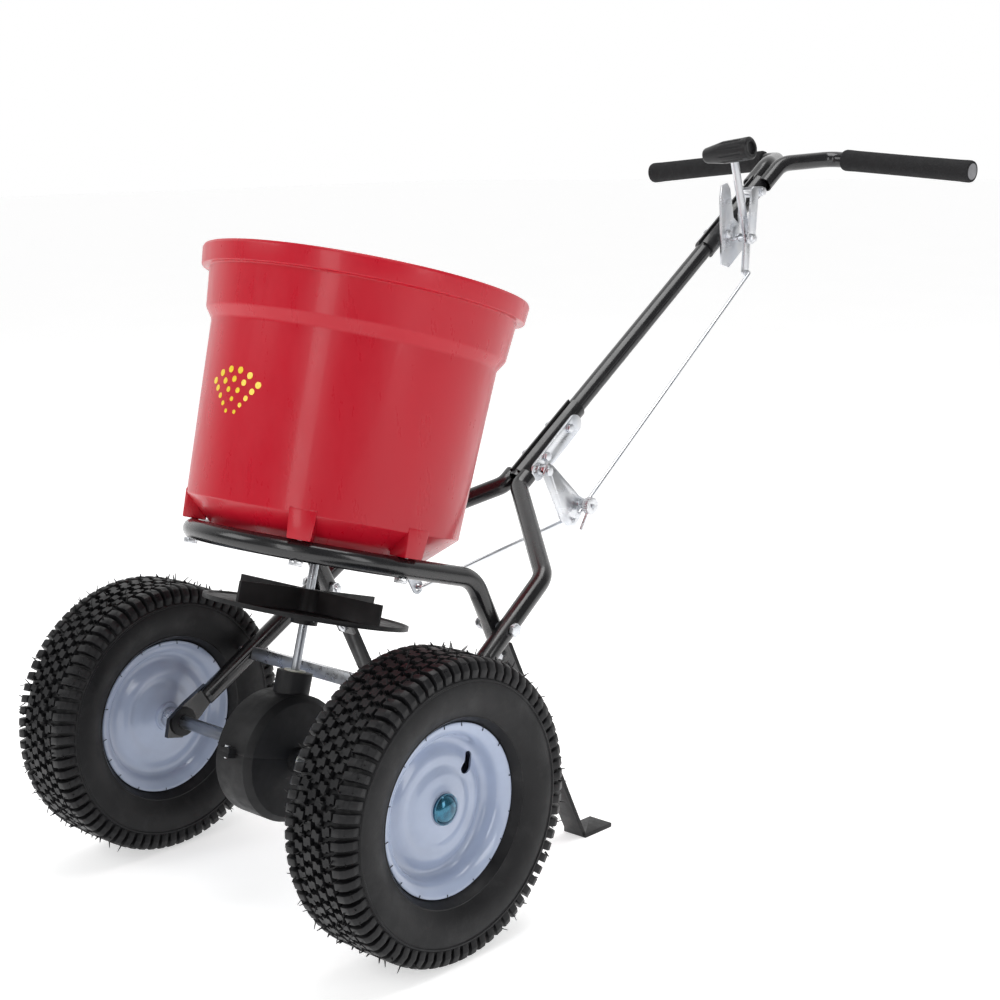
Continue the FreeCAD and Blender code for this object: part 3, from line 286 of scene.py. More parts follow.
def zinc_plate(colours):
    """Bright zinc with a faint rolled grain and cloudy passivation."""
    finish = Finish("zinc_plate", colours.zinc, 0.28, metallic=1.0)
    finish.tint(finish.noise(26.0, 5.0, 0.6), (0.60, 0.63, 0.68), 0.42, 0.75)
    finish.gloss(finish.noise(70.0, 6.0, 0.65, (1, 0.2, 1)), 0.20, 0.42)
    finish.bump(finish.noise(260.0, 4.0, 0.6, (1, 0.12, 1)), 0.00004, 0.5)
    return finish.material


def drawn_steel(colours):
    """Plain drawn bar: fine lines along its length and a film of oil."""
    finish = Finish("drawn_steel", (0.47, 0.49, 0.52), 0.30, metallic=1.0)
    finish.tint(finish.noise(18.0, 5.0), (0.32, 0.34, 0.37), 0.45, 0.8)
    finish.gloss(finish.noise(120.0, 5.0, 0.6, (0.1, 1, 1)), 0.22, 0.44)
    finish.bump(finish.noise(500.0, 3.0, 0.6, (0.05, 1, 1)), 0.00003, 0.5)
    return finish.material


def rim_enamel(colours):
    """Pale blue-grey gloss enamel over pressed sheet, a little darker where it pools."""
    finish = Finish("rim_enamel", colours.rim, 0.18, coat=0.5)
    finish.tint(finish.noise(16.0, 4.0), tuple(0.82 * c for c in colours.rim), 0.45, 0.8)
    finish.tint(finish.noise(210.0, 6.0, 0.7), (0.30, 0.33, 0.38), 0.68, 0.80)
    finish.gloss(finish.noise(45.0, 5.0, 0.6), 0.12, 0.26)
    finish.bump(finish.noise(60.0, 3.0), 0.00025, 0.45)
    finish.bump(finish.noise(520.0, 2.0), 0.00004, 0.4)
    return finish.material


def tyre_rubber(colours):
    """Moulded rubber: sidewall sheen, mould grain and a trace of grey dust."""
    finish = Finish("tyre_rubber", colours.rubber, 0.5, specular=0.26)
    finish.tint(finish.noise(38.0, 8.0, 0.7), (0.020, 0.020, 0.021), 0.52, 0.85)
    finish.gloss(finish.noise(30.0, 6.0, 0.6), 0.34, 0.60)
    finish.bump(finish.noise(650.0, 3.0), 0.00012, 0.6)
    finish.bump(finish.noise(60.0, 4.0), 0.0004, 0.35)
    return finish.material


def valve_rubber(colours):
    """Dull soft rubber of the valve stems."""
    finish = Finish("valve_rubber", (0.018, 0.018, 0.018), 0.6)
    finish.gloss(finish.noise(220.0, 4.0), 0.48, 0.72)
    finish.bump(finish.noise(900.0, 3.0), 0.00005, 0.6)
    return finish.material


def grip_foam(colours):
    """Closed-cell foam sleeve: fine open pores under a dull skin."""
    finish = Finish("grip_foam", (0.010, 0.010, 0.011), 0.80, specular=0.22)
    finish.tint(finish.cells(950.0), (0.024, 0.024, 0.025), 0.15, 0.75)
    finish.gloss(finish.noise(90.0, 5.0), 0.78, 0.95)
    finish.bump(finish.cells(950.0), 0.00025, 0.7)
    finish.bump(finish.noise(140.0, 5.0, 0.6), 0.0003, 0.5)
    return finish.material


def black_plastic(colours):
    """Injection-moulded black plastic with a spark-eroded grain."""
    finish = Finish("black_plastic", (0.008, 0.008, 0.009), 0.46, specular=0.26)
    finish.tint(finish.noise(24.0, 6.0, 0.65), (0.016, 0.016, 0.017), 0.48, 0.85)
    finish.gloss(finish.noise(80.0, 5.0), 0.40, 0.60)
    finish.bump(finish.cells(1400.0), 0.00006, 0.7)
    finish.bump(finish.noise(20.0, 2.0), 0.0004, 0.3)
    return finish.material


def grip_plastic(colours):
    """Smooth moulded plastic of the lever's knob."""
    finish = Finish("grip_plastic", (0.009, 0.009, 0.010), 0.36, specular=0.35)
    finish.gloss(finish.noise(110.0, 5.0), 0.30, 0.48)
    finish.bump(finish.noise(800.0, 3.0), 0.00005, 0.6)
    return finish.material


def grey_plastic(colours):
    """Matt grey plastic of the handlebar plugs."""
    finish = Finish("grey_plastic", (0.22, 0.22, 0.23), 0.55)
    finish.tint(finish.noise(120.0, 5.0), (0.15, 0.15, 0.16), 0.45, 0.8)
    finish.bump(finish.noise(700.0, 3.0), 0.00008, 0.6)
    return finish.material


def cap_enamel(colours):
    """Metallic blue lacquer over a pressed cap, with fine flake."""
    finish = Finish("cap_enamel", colours.cap, 0.22, metallic=0.85, coat=0.8)
    finish.tint(finish.cells(2600.0), (0.03, 0.20, 0.30), 0.30, 0.75)
    finish.tint(finish.noise(75.0, 3.0), (0.003, 0.030, 0.060), 0.46, 0.7)
    finish.bump(finish.noise(110.0, 2.0), 0.0004, 0.4)
    return finish.material


def natural_nylon(colours):
    """Undyed nylon, a little translucent."""
    finish = Finish("natural_nylon", (0.66, 0.64, 0.57), 0.42)
    finish.set("Subsurface Weight", 0.08)
    finish.tint(finish.noise(60.0, 4.0), (0.54, 0.51, 0.44), 0.45, 0.8)
    finish.bump(finish.noise(600.0, 3.0), 0.00004, 0.5)
    return finish.material


def sintered_steel(colours):
    """Dark pressed-powder steel with fine open pores."""
    finish = Finish("sintered_steel", (0.20, 0.20, 0.21), 0.45, metallic=1.0)
    finish.tint(finish.cells(1500.0), (0.11, 0.11, 0.12), 0.35, 0.7)
    finish.gloss(finish.noise(160.0, 5.0), 0.36, 0.60)
    finish.bump(finish.cells(1500.0), 0.00005, 0.6)
    return finish.material


def dot_print(colours):
    """Yellow screen print, slightly uneven in its ink."""
    finish = Finish("dot_print", colours.dots, 0.30, coat=0.3)
    finish.tint(finish.noise(300.0, 4.0), tuple(0.8 * c for c in colours.dots), 0.55, 0.8)
    return finish.material


MAKERS = (red_hopper_plastic, black_enamel, satin_black, zinc_plate, drawn_steel, rim_enamel, tyre_rubber,
          valve_rubber, grip_foam, black_plastic, grip_plastic, grey_plastic, cap_enamel, natural_nylon,
          sintered_steel, dot_print)
FINISHES = {}


def finish_of(name):
    """The material of that name, made once."""
    if not FINISHES:
        for make in MAKERS:
            FINISHES[make.__name__] = make(bpy.context.scene.spreader_colours)
    return FINISHES[name]


# ------------------------------------------------------------------ shaping helpers
def polar(radius, angle):
    """Flat coordinates of a point at a radius and angle."""
    return radius * math.cos(angle), radius * math.sin(angle)


def rounded(points, radii, steps=5):
    """Closed outline of (radius, height) points whose corners are small arcs, each of its own radius."""
    out = []
    count = len(points)
    for i, (point, radius) in enumerate(zip(points, radii)):
        here = Vector(point)
        before = Vector(points[i - 1]) - here
        after = Vector(points[(i + 1) % count]) - here
        half = before.angle(after) / 2
        reach = 0.0 if radius <= 0 else radius / math.tan(half)
        reach = min(reach, 0.45 * before.length, 0.45 * after.length)
        if reach < 1e-6:
            out.append(here)
            continue
        start = here + before.normalized() * reach
        end = here + after.normalized() * reach
        for k in range(steps + 1):
            t = k / steps
            out.append(start * (1 - t) ** 2 + here * 2 * t * (1 - t) + end * t ** 2)
    return out


def spun(bm, outline, axis, steps, closed=True):
    """Turn an outline of (radius, height) points once round the X or Z axis."""
    if axis == "X":
        rim = [bm.verts.new((h, r, 0)) for r, h in outline]
        line = ACROSS
    else:
        rim = [bm.verts.new((r, 0, h)) for r, h in outline]
        line = Vector((0, 0, 1))
    pairs = list(zip(rim, rim[1:] + rim[:1])) if closed else list(zip(rim, rim[1:]))
    edges = [bm.edges.new(pair) for pair in pairs]
    bmesh.ops.spin(bm, geom=rim + edges, cent=(0, 0, 0), axis=line, angle=math.tau, steps=steps,
                   use_merge=True)
    bmesh.ops.remove_doubles(bm, verts=bm.verts, dist=1e-6)


def extruded(bm, outline, shift, bevel=0.0):
    """Flat outline of 3D points pushed along a vector, with softened edges."""
    bottom = [bm.verts.new(point) for point in outline]
    grown = bmesh.ops.extrude_face_region(bm, geom=[bm.faces.new(bottom)])["geom"]
    top = [part for part in grown if isinstance(part, bmesh.types.BMVert)]
    bmesh.ops.translate(bm, vec=shift, verts=top)
    if not bevel:
        return bottom + top
    edges = list(dict.fromkeys(edge for vert in bottom + top for edge in vert.link_edges))
    result = bmesh.ops.bevel(bm, geom=edges, offset=bevel, offset_type="OFFSET", segments=2, profile=0.5,
                             affect="EDGES", material=-1, clamp_overlap=True)
    return list(dict.fromkeys(vert for face in result["faces"] for vert in face.verts))


def mirrored(bm, side):
    """Turn a wheel piece drawn for the left side over to the right one, when side is -1."""
    if side < 0:
        bmesh.ops.scale(bm, vec=(-1, 1, 1), verts=bm.verts)


def new_piece(name, bm, finish, body, replaces=(), sharp=32.0, place=MACHINE, outward=True):
    """Turn a bmesh drawn in the machine's axes into a finished piece that rides on a body."""
    bmesh.ops.transform(bm, matrix=place, verts=bm.verts)
    if outward:
        bmesh.ops.recalc_face_normals(bm, faces=bm.faces)
    mesh = bpy.data.meshes.new(name)
    bm.to_mesh(mesh)
    bm.free()
    mesh.polygons.foreach_set("use_smooth", [True] * len(mesh.polygons))
    mesh.set_sharp_from_angle(angle=math.radians(sharp))
    piece = bpy.data.objects.new(name, mesh)
    bpy.context.scene.collection.objects.link(piece)
    mesh.materials.append(finish_of(finish))
    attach(piece, body)
    if replaces:
        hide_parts(*replaces)
    return piece


def body_with(node):
    """Body that a CAD node rides on."""
    return frame["nodes"][node]["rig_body"]


FLAT_WITHIN = math.radians(0.4)


def soft_copy(node, finish, soften, sharp=32.0):
    """Merged copy of a CAD node with rounded edges and smooth curved faces."""
    bm = bmesh.new()
    bm.from_mesh(frame["nodes"][node].data)
    bmesh.ops.remove_doubles(bm, verts=bm.verts, dist=1e-6)
    bmesh.ops.dissolve_limit(bm, angle_limit=FLAT_WITHIN, verts=bm.verts, edges=bm.edges)
    if soften:
        edges = [e for e in bm.edges if e.is_manifold and e.calc_face_angle(0.0) > math.radians(sharp)]
        bmesh.ops.bevel(bm, geom=edges, offset=soften, offset_type="OFFSET", segments=2, profile=0.5,
                        affect="EDGES", material=-1, clamp_overlap=True, loop_slide=True)
    return new_piece(node + "_finished", bm, finish, body_with(node), (node,), sharp,
                     Matrix.Identity(4), outward=False)


# ------------------------------------------------------------------ tyres
CARCASS_STEPS = 144
BAR_FILL = 0.62
BAR_SOFTEN = 0.0009
BAR_SLANT = 0.14
BAR_SLANT_FROM = 0.0120
CROWN_DROP = 0.0075
LUG_MARGIN = 0.0225
LUG_ROOT = 0.0020
LUG_UNEVEN = 0.0005
LUG_TAPER = 0.84
LUG_TWIST = 0.16
LUG_STRAY = 0.05
BARE_AT_FLOOR = math.radians(21)
WHISKER_ROOT = 0.0015
BEAD_WHISKERS = 17
BEAD_WHISKER_LENGTH = 0.0052
BEAD_WHISKER_X = 0.0304
BEAD_WHISKER_INWARD = 0.0008


def tyre_carcass(bm, wheel):
    """Closed ring of rubber: beads, bulged sidewalls with a mould line, and the crown under the lugs."""
    r, w, flange = wheel.tyre_radius, wheel.tyre_half_width, wheel.flange_radius
    base = r - wheel.lug_height
    bead_in = flange - 0.0118
    side = [(bead_in, 0.0200), (flange - 0.0095, 0.0232), (flange - 0.0055, 0.0258),
            (flange - 0.0025, 0.0268), (flange + 0.0006, 0.0276), (flange + 0.0030, 0.0330),
            (flange + 0.0065, 0.0378),
            (flange + 0.0072, 0.0388), (flange + 0.0086, 0.0386), (flange + 0.0140, w - 0.0058),
            (flange + 0.0230, w - 0.0022), (flange + 0.0320, w - 0.0008), (flange + 0.0400, w - 0.0010),
            (flange + 0.0440, w - 0.0018), (flange + 0.0448, w - 0.0008), (flange + 0.0464, w - 0.0010),
            (flange + 0.0472, w - 0.0026), (base - 0.0080, w - 0.0062), (base - 0.0042, w - 0.0110),
            (base - 0.0018, w - 0.0190), (base - 0.0004, w - 0.0300), (base, w - 0.0420)]
    outer = side + [(radius, -x) for radius, x in reversed(side)]
    half = [(bead_in, 0.0180), (flange, 0.0200), (flange + 0.0140, w - 0.0130), (flange + 0.0300, w - 0.0070),
            (base - 0.0140, w - 0.0120), (base - 0.0075, w - 0.0280)]
    inner = [(radius, -x) for radius, x in half] + [(base - 0.0065, 0.0)] + half[::-1]
    spun(bm, outer + inner, "X", CARCASS_STEPS)


def crown_radius(wheel, x):
    """Radius of the carcass crown at a distance from the centre plane."""
    share = abs(x) / wheel.tyre_half_width
    return wheel.tyre_radius - wheel.lug_height - CROWN_DROP * share ** 2.6


def tyre_shoulders(bm, wheel):
    """Radial bars that wrap each shoulder down to the sidewall."""
    r, w = wheel.tyre_radius, wheel.tyre_half_width
    half = BAR_FILL * math.pi * r / wheel.shoulder_bars
    for side in (1, -1):
        outline = [(r - 0.0210, w - 0.0022), (r - 0.0120, w - 0.0012), (r - 0.0040, w - 0.0050),
                   (r - 0.0012, w - 0.0100), (r - 0.0008, w - 0.0205), (r - 0.0080, w - 0.0215),
                   (r - 0.0200, w - 0.0120)]
        for i in range(wheel.shoulder_bars):
            turn = Matrix.Rotation((i + 0.5 * (side > 0)) * math.tau / wheel.shoulder_bars, 4, "X")
            loop = [Vector((side * x, -half, radius)) for radius, x in outline]
            made = extruded(bm, loop, (0, 2 * half, 0), BAR_SOFTEN)
            for vert in made:
                vert.co.y += BAR_SLANT * side * (vert.co.x * side - w + BAR_SLANT_FROM)
            bmesh.ops.transform(bm, matrix=turn, verts=made)


LUG = ((-0.0060, -0.0054), (-0.0012, -0.0064), (0.0014, -0.0036), (0.0062, -0.0046),
       (0.0060, 0.0054), (0.0012, 0.0064), (-0.0014, 0.0036), (-0.0062, 0.0046))


def tyre_lugs(bm, wheel):
    """Staggered rows of small S-shaped lugs over the crown, each a little out of line."""
    inner_edge = wheel.tyre_half_width - LUG_MARGIN
    pitch = 2 * inner_edge / wheel.lug_rows
    step = math.tau / wheel.lugs_round
    for row in range(wheel.lug_rows):
        x = -inner_edge + (row + 0.5) * pitch
        lean = 1 if row % 2 else -1
        low = crown_radius(wheel, x) - LUG_ROOT
        for i in range(wheel.lugs_round):
            stray = math.sin(12.9 * i + 78.2 * row)
            high = min(crown_radius(wheel, x) + wheel.lug_height, wheel.tyre_radius)
            high -= LUG_UNEVEN * (1 + stray)
            loop = [Vector((u, lean * v, low)) for u, v in LUG]
            made = extruded(bm, loop, (0, 0, high - low))
            for vert in made:
                if vert.co.z > (low + high) / 2:
                    vert.co.x *= LUG_TAPER
                    vert.co.y *= LUG_TAPER
            twist = Matrix.Rotation(LUG_TWIST * stray, 4, "Z")
            turn = Matrix.Rotation((i + 0.5 * (row % 2) + LUG_STRAY * stray) * step, 4, "X")
            bmesh.ops.transform(bm, matrix=turn @ Matrix.Translation((x, 0, 0)) @ twist, verts=made)


def whisker(bm, length, radius, place):
    """Thin tapered whisker along Z, moved by a matrix."""
    made = bmesh.ops.create_cone(bm, cap_ends=True, segments=6, radius1=radius, radius2=0.4 * radius,
                                 depth=length)["verts"]
    bmesh.ops.transform(bm, matrix=place, verts=made)


def tyre_whiskers(bm, wheel):
    """Vent whiskers left by the mould, worn away where the tyre stands on the floor at rest."""
    down = math.atan2(-SHAFT.z, -BACK.z)
    edge = wheel.tyre_half_width
    rows = ((edge - 0.0070, -0.0065, 0.75), (0.0300, 0.0, 0.15), (0.0115, 0.0, 0.0))
    for row, (across, drop, splay) in enumerate(rows):
        for side in (1, -1):
            for i in range(wheel.whiskers):
                wobble = math.sin(7.3 * i + 31.0 * row + side)
                angle = (i + 0.5 * wobble + 0.25 * side) * math.tau / wheel.whiskers
                if abs((angle - down + math.pi) % math.tau - math.pi) < BARE_AT_FLOOR:
                    continue
                length = wheel.whisker_length * (0.85 + 0.35 * wobble)
                tilt = (Matrix.Rotation(side * splay + 0.35 * wobble, 4, "Y")
                        @ Matrix.Rotation(0.5 * math.sin(3.1 * i + 9.0 * row), 4, "X"))
                root = Matrix.Translation((side * across, 0, wheel.tyre_radius + drop - WHISKER_ROOT))
                lift = Matrix.Translation((0, 0, 0.5 * length))
                turn = Matrix.Rotation(angle - math.pi / 2, 4, "X")
                whisker(bm, length, wheel.whisker_radius * (1 - 0.3 * wobble), turn @ root @ tilt @ lift)


def bead_whiskers(bm, wheel):
    """Short whiskers from the tyre's beads that lie across the rim's rolled edges."""
    for side in (1, -1):
        for i in range(BEAD_WHISKERS):
            wobble = math.sin(5.1 * i + side)
            length = BEAD_WHISKER_LENGTH + 0.0010 * wobble
            lie = Matrix.Translation((side * BEAD_WHISKER_X, 0, wheel.flange_radius - BEAD_WHISKER_INWARD))
            turn = Matrix.Rotation((i + 0.25 * wobble) * math.tau / BEAD_WHISKERS, 4, "X")
            lean = Matrix.Rotation(0.25 * wobble, 4, "X")
            whisker(bm, length, 0.5 * wheel.whisker_radius, turn @ lie @ lean)


class SPREADER_OT_tyres(bpy.types.Operator):
    """Pneumatic tyres with shoulder bars, zigzag lugs and moulding whiskers"""
    bl_idname = "spreader.tyres"
    bl_label = "Tyres"

    def execute(self, context):
        wheel = context.scene.spreader_wheels
        for name, side, body in WHEEL_SIDES:
            bm = bmesh.new()
            tyre_carcass(bm, wheel)
            tyre_shoulders(bm, wheel)
            tyre_lugs(bm, wheel)
            tyre_whiskers(bm, wheel)
            bead_whiskers(bm, wheel)
            bmesh.ops.translate(bm, vec=(side * WHEEL_X, 0, 0), verts=bm.verts)
            new_piece(name + "_tyre_tread", bm, "tyre_rubber", body, (name + "_tyre",), 38.0)
        return {"FINISHED"}


# ------------------------------------------------------------------ rims and hub caps
PRESSING_STEPS = 128
WELL_STEPS = 96
TURNED_STEPS = 64
WELL_INNER_R = 0.0752
WELL_OUTER_R = 0.0774
WELL_FROM = -0.0190
WELL_TO = 0.0150
HUB_BORE_R = 0.0110
HUB_OUTER_R = 0.0170
HUB_OUT = 0.0210
HUB_SOFTEN = 0.0008
SLOT_MIDDLE_R = 0.0560
SLOT_CUT_FROM = 0.0040
SLOT_CUT_DEPTH = 0.0300

# (inward from the flange, outward from the wheel's middle)
RIM_LIP = ((0.0000, 0.0284), (0.0004, 0.0296), (0.0016, 0.0300), (0.0034, 0.0296), (0.0060, 0.0284),
           (0.0088, 0.0270), (0.0114, 0.0252), (0.0134, 0.0228))
# (radius, outward from the wheel's middle) of each web's rippled face
RIM_OUTER_WEB = ((0.0752, 0.0196), (0.0742, 0.0160), (0.0732, 0.0124), (0.0716, 0.0092), (0.0694, 0.0074),
                 (0.0668, 0.0068), (0.0640, 0.0074), (0.0604, 0.0096), (0.0566, 0.0122), (0.0526, 0.0138),
                 (0.0486, 0.0140), (0.0452, 0.0133), (0.0418, 0.0136), (0.0372, 0.0156), (0.0324, 0.0172),
                 (0.0272, 0.0174), (0.0220, 0.0187), (0.0172, 0.0202))
RIM_INNER_WEB = ((0.0754, 0.0210), (0.0744, 0.0192), (0.0730, 0.0177), (0.0708, 0.0166), (0.0680, 0.0162),
                 (0.0650, 0.0166), (0.0610, 0.0184), (0.0566, 0.0209), (0.0520, 0.0224), (0.0475, 0.0226),
                 (0.0440, 0.0220), (0.0400, 0.0226), (0.0350, 0.0248), (0.0300, 0.0264), (0.0250, 0.0270),
                 (0.0210, 0.0284), (0.0172, 0.0300))


def thickened(curve, sheet):
    """Closed section of a sheet whose visible side follows a curve of (radius, height) points."""
    back = []
    for i, (radius, height) in enumerate(curve):
        before, after = curve[max(i - 1, 0)], curve[min(i + 1, len(curve) - 1)]
        run = Vector((after[0] - before[0], after[1] - before[1])).normalized()
        back.append((radius - run.y * sheet, height + run.x * sheet))
    return list(curve) + back[::-1]


def pressed_half(bm, wheel, web, side):
    """One pressing of the wheel: rolled lip, flared flange, well and rippled web."""
    lip = [(wheel.flange_radius - inward, height) for inward, height in RIM_LIP]
    section = [(radius, side * height) for radius, height in thickened(lip + list(web), wheel.rim_sheet)]
    spun(bm, section, "X", PRESSING_STEPS)


def stadium(radius, length, steps=10):
    """Outline of a slot: two half circles joined by straight sides."""
    points = []
    for end in (1, -1):
        for k in range(steps + 1):
            y, z = polar(radius, -math.pi / 2 + math.pi * k / steps)
            points.append((end * (length / 2 + y), end * z))
    return points


def loose_solid(name, bm):
    """Closed solid as a passing object, for one boolean cut."""
    bmesh.ops.recalc_face_normals(bm, faces=bm.faces)
    mesh = bpy.data.meshes.new(name)
    bm.to_mesh(mesh)
    bm.free()
    solid = bpy.data.objects.new(name, mesh)
    bpy.context.scene.collection.objects.link(solid)
    return solid


def slot_solid(wheel):
    """Solid in the shape of the valve slot, its long side along the radius, through the outer web."""
    low, high = span("left_valve")
    middle = (low + high) / 2
    turn = Matrix.Rotation(math.atan2(middle.z, middle.y), 4, "X")
    slot = stadium(wheel.slot_radius, 2 * wheel.slot_radius)
    loop = [turn @ Vector((SLOT_CUT_FROM, SLOT_MIDDLE_R + u, v)) for u, v in slot]
    bm = bmesh.new()
    extruded(bm, loop, (SLOT_CUT_DEPTH, 0, 0))
    return loose_solid("slot_solid", bm)


def slotted_half(bm, wheel):
    """Outer pressing with the valve slot cut through it. It is cut alone, as one clean closed shell."""
    whole = bmesh.new()
    pressed_half(whole, wheel, RIM_OUTER_WEB, 1)
    pressing, slot = loose_solid("outer_pressing", whole), slot_solid(wheel)
    hole = pressing.modifiers.new("hole", "BOOLEAN")
    hole.object = slot
    hole.operation = "DIFFERENCE"
    hole.solver = "EXACT"
    graph = bpy.context.evaluated_depsgraph_get()
    mesh = bpy.data.meshes.new_from_object(pressing.evaluated_get(graph))
    bm.from_mesh(mesh)
    for passing in (pressing.data, slot.data, mesh):
        bpy.data.meshes.remove(passing)


class SPREADER_OT_rims(bpy.types.Operator):
    """Pressed rims with rolled flanges, a stepped dish, hub tube and valve slot"""
    bl_idname = "spreader.rims"
    bl_label = "Rims"

    def execute(self, context):
        wheel = context.scene.spreader_wheels
        hub_in = RIM_LOW.x - WHEEL_X
        well = [(WELL_INNER_R, WELL_FROM), (WELL_OUTER_R, WELL_FROM), (WELL_OUTER_R, WELL_TO),
                (WELL_INNER_R, WELL_TO)]
        hub = [(HUB_BORE_R, hub_in), (HUB_OUTER_R, hub_in), (HUB_OUTER_R, HUB_OUT), (HUB_BORE_R, HUB_OUT)]
        for name, side, body in WHEEL_SIDES:
            bm = bmesh.new()
            slotted_half(bm, wheel)
            pressed_half(bm, wheel, RIM_INNER_WEB, -1)
            spun(bm, well, "X", WELL_STEPS)
            spun(bm, rounded(hub, [HUB_SOFTEN] * len(hub), 3), "X", TURNED_STEPS)
            mirrored(bm, side)
            bmesh.ops.translate(bm, vec=(side * WHEEL_X, 0, 0), verts=bm.verts)
            new_piece(name + "_rim_pressed", bm, "rim_enamel", body, (name + "_rim",))
        return {"FINISHED"}


CAP_DEPTH = 0.0090


class SPREADER_OT_hub_caps(bpy.types.Operator):
    """Domed metallic caps over the axle ends"""
    bl_idname = "spreader.hub_caps"
    bl_label = "Hub caps"

    def execute(self, context):
        high = span("hub_caps")[1]
        tip, r = high.x, high.z
        back = tip - CAP_DEPTH
        outline = [(0.0, tip), (0.0050, tip - 0.0003), (0.0095, tip - 0.0014), (0.0128, tip - 0.0034),
                   (0.0146, tip - 0.0056), (0.0152, tip - 0.0064), (r - 0.0002, tip - 0.0066),
                   (r, tip - 0.0074), (r - 0.0002, back), (r - 0.0015, back), (r - 0.0022, tip - 0.0076),
                   (0.0130, tip - 0.0060), (0.0085, tip - 0.0032), (0.0, tip - 0.0022)]
        for name, side, _ in WHEEL_SIDES:
            bm = bmesh.new()
            spun(bm, outline, "X", TURNED_STEPS, closed=False)
            mirrored(bm, side)
            replaced = ("hub_caps",) if side > 0 else ()
            new_piece(name + "_hub_cap", bm, "cap_enamel", "drive_axle", replaced)
        return {"FINISHED"}


# ------------------------------------------------------------------ hopper
HOPPER_STEPS = 160
OUTLET_R = 0.0092
FLOOR_R = 0.1070
LOW_WALL_R = 0.1520
HIGH_WALL_R = 0.1605
BAND_LOW_R = 0.1685
BAND_HIGH_R = 0.1730
WALL_LOW = HOPPER_HIGH.z - 0.2709
WALL_HIGH = HOPPER_HIGH.z - 0.0785
BAND_LOW = HOPPER_HIGH.z - 0.0665
BAND_HIGH = HOPPER_HIGH.z - 0.0220
WALL_SLOPE = (HIGH_WALL_R - LOW_WALL_R) / (WALL_HIGH - WALL_LOW)
FOOT_ANGLES = (0, 180, 230, 310)
FOOT_SEAT = 0.2390
FOOT_INNER_R = 0.1262
FOOT_HALF_WIDTH = 0.0150
FOOT_TAPER = 0.84
FOOT_SOFTEN = 0.0012


def hopper_outline(body):
    """Closed section of the shell in (radius, height), from the floor up the outside and down the inside."""
    top, t = HOPPER_HIGH.z, body.hopper_wall
    lip = HOPPER_HIGH.x
    floor = HOPPER_LOW.z
    floor_top = floor + t + 0.0006
    outer = [(OUTLET_R, floor), (FLOOR_R, floor), (LOW_WALL_R, WALL_LOW), (HIGH_WALL_R, WALL_HIGH),
             (BAND_LOW_R, BAND_LOW), (BAND_HIGH_R, BAND_HIGH), (lip - 0.0022, BAND_HIGH - 0.0002),
             (lip, top - 0.0030), (lip - 0.0014, top)]
    inner = [(lip - t - 0.0052, top), (lip - t - 0.0074, top - 0.0030), (BAND_HIGH_R - t, BAND_HIGH - 0.0020),
             (BAND_LOW_R - t, BAND_LOW + 0.0010), (HIGH_WALL_R - t, WALL_HIGH),
             (LOW_WALL_R - t, WALL_LOW + 0.0015), (FLOOR_R - 0.0010, floor_top), (OUTLET_R, floor_top)]
    radii = [0.0, 0.006, 0.0028, 0.008, 0.008, 0.0022, 0.0016, 0.0014, 0.0009,
             0.0012, 0.003, 0.004, 0.008, 0.008, 0.006, 0.006, 0.0]
    return rounded(outer + inner, radii)


def hopper_feet(bm):
    """Pilasters that carry the hopper on the ring tube."""
    section = [(FOOT_INNER_R, FOOT_SEAT), (LOW_WALL_R - 0.0008, FOOT_SEAT),
               (LOW_WALL_R + 0.0007, WALL_LOW + 0.0050), (LOW_WALL_R - 0.0020, WALL_LOW + 0.0065),
               (LOW_WALL_R - 0.0058, WALL_LOW - 0.0020), (FOOT_INNER_R, WALL_LOW - 0.0230)]
    loop = [Vector((radius, -FOOT_HALF_WIDTH, height)) for radius, height in section]
    for degrees in FOOT_ANGLES:
        made = extruded(bm, loop, (0, 2 * FOOT_HALF_WIDTH, 0), FOOT_SOFTEN)
        for vert in made:
            rise = min(1.0, (vert.co.z - FOOT_SEAT) / (WALL_LOW - FOOT_SEAT))
            vert.co.y *= FOOT_TAPER + (1 - FOOT_TAPER) * rise
        bmesh.ops.transform(bm, matrix=Matrix.Rotation(math.radians(degrees), 4, "Z"), verts=made)


class SPREADER_OT_hopper(bpy.types.Operator):
    """Moulded hopper shell with a rolled lip, stepped band and bolting feet"""
    bl_idname = "spreader.hopper"
    bl_label = "Hopper"

    def execute(self, context):
        bm = bmesh.new()
        spun(bm, hopper_outline(context.scene.spreader_body), "Z", HOPPER_STEPS)
        hopper_feet(bm)
        new_piece("hopper_shell", bm, "red_hopper_plastic", "frame", ("hopper",), 40.0)
        return {"FINISHED"}


FAN_ROWS = 5
FAN_ANGLE = math.radians(-90)
FAN_OPENING = math.radians(86)
FAN_HEIGHT = HOPPER_HIGH.z - 0.158
FAN_FOOT = 0.028
FAN_FIRST = 0.0100
FAN_PITCH = 0.0105
DOT_RADIUS = 0.0022
DOT_GROWTH = 0.0004
DOT_THICKNESS = 0.0004
DOT_PROUD = 0.00008


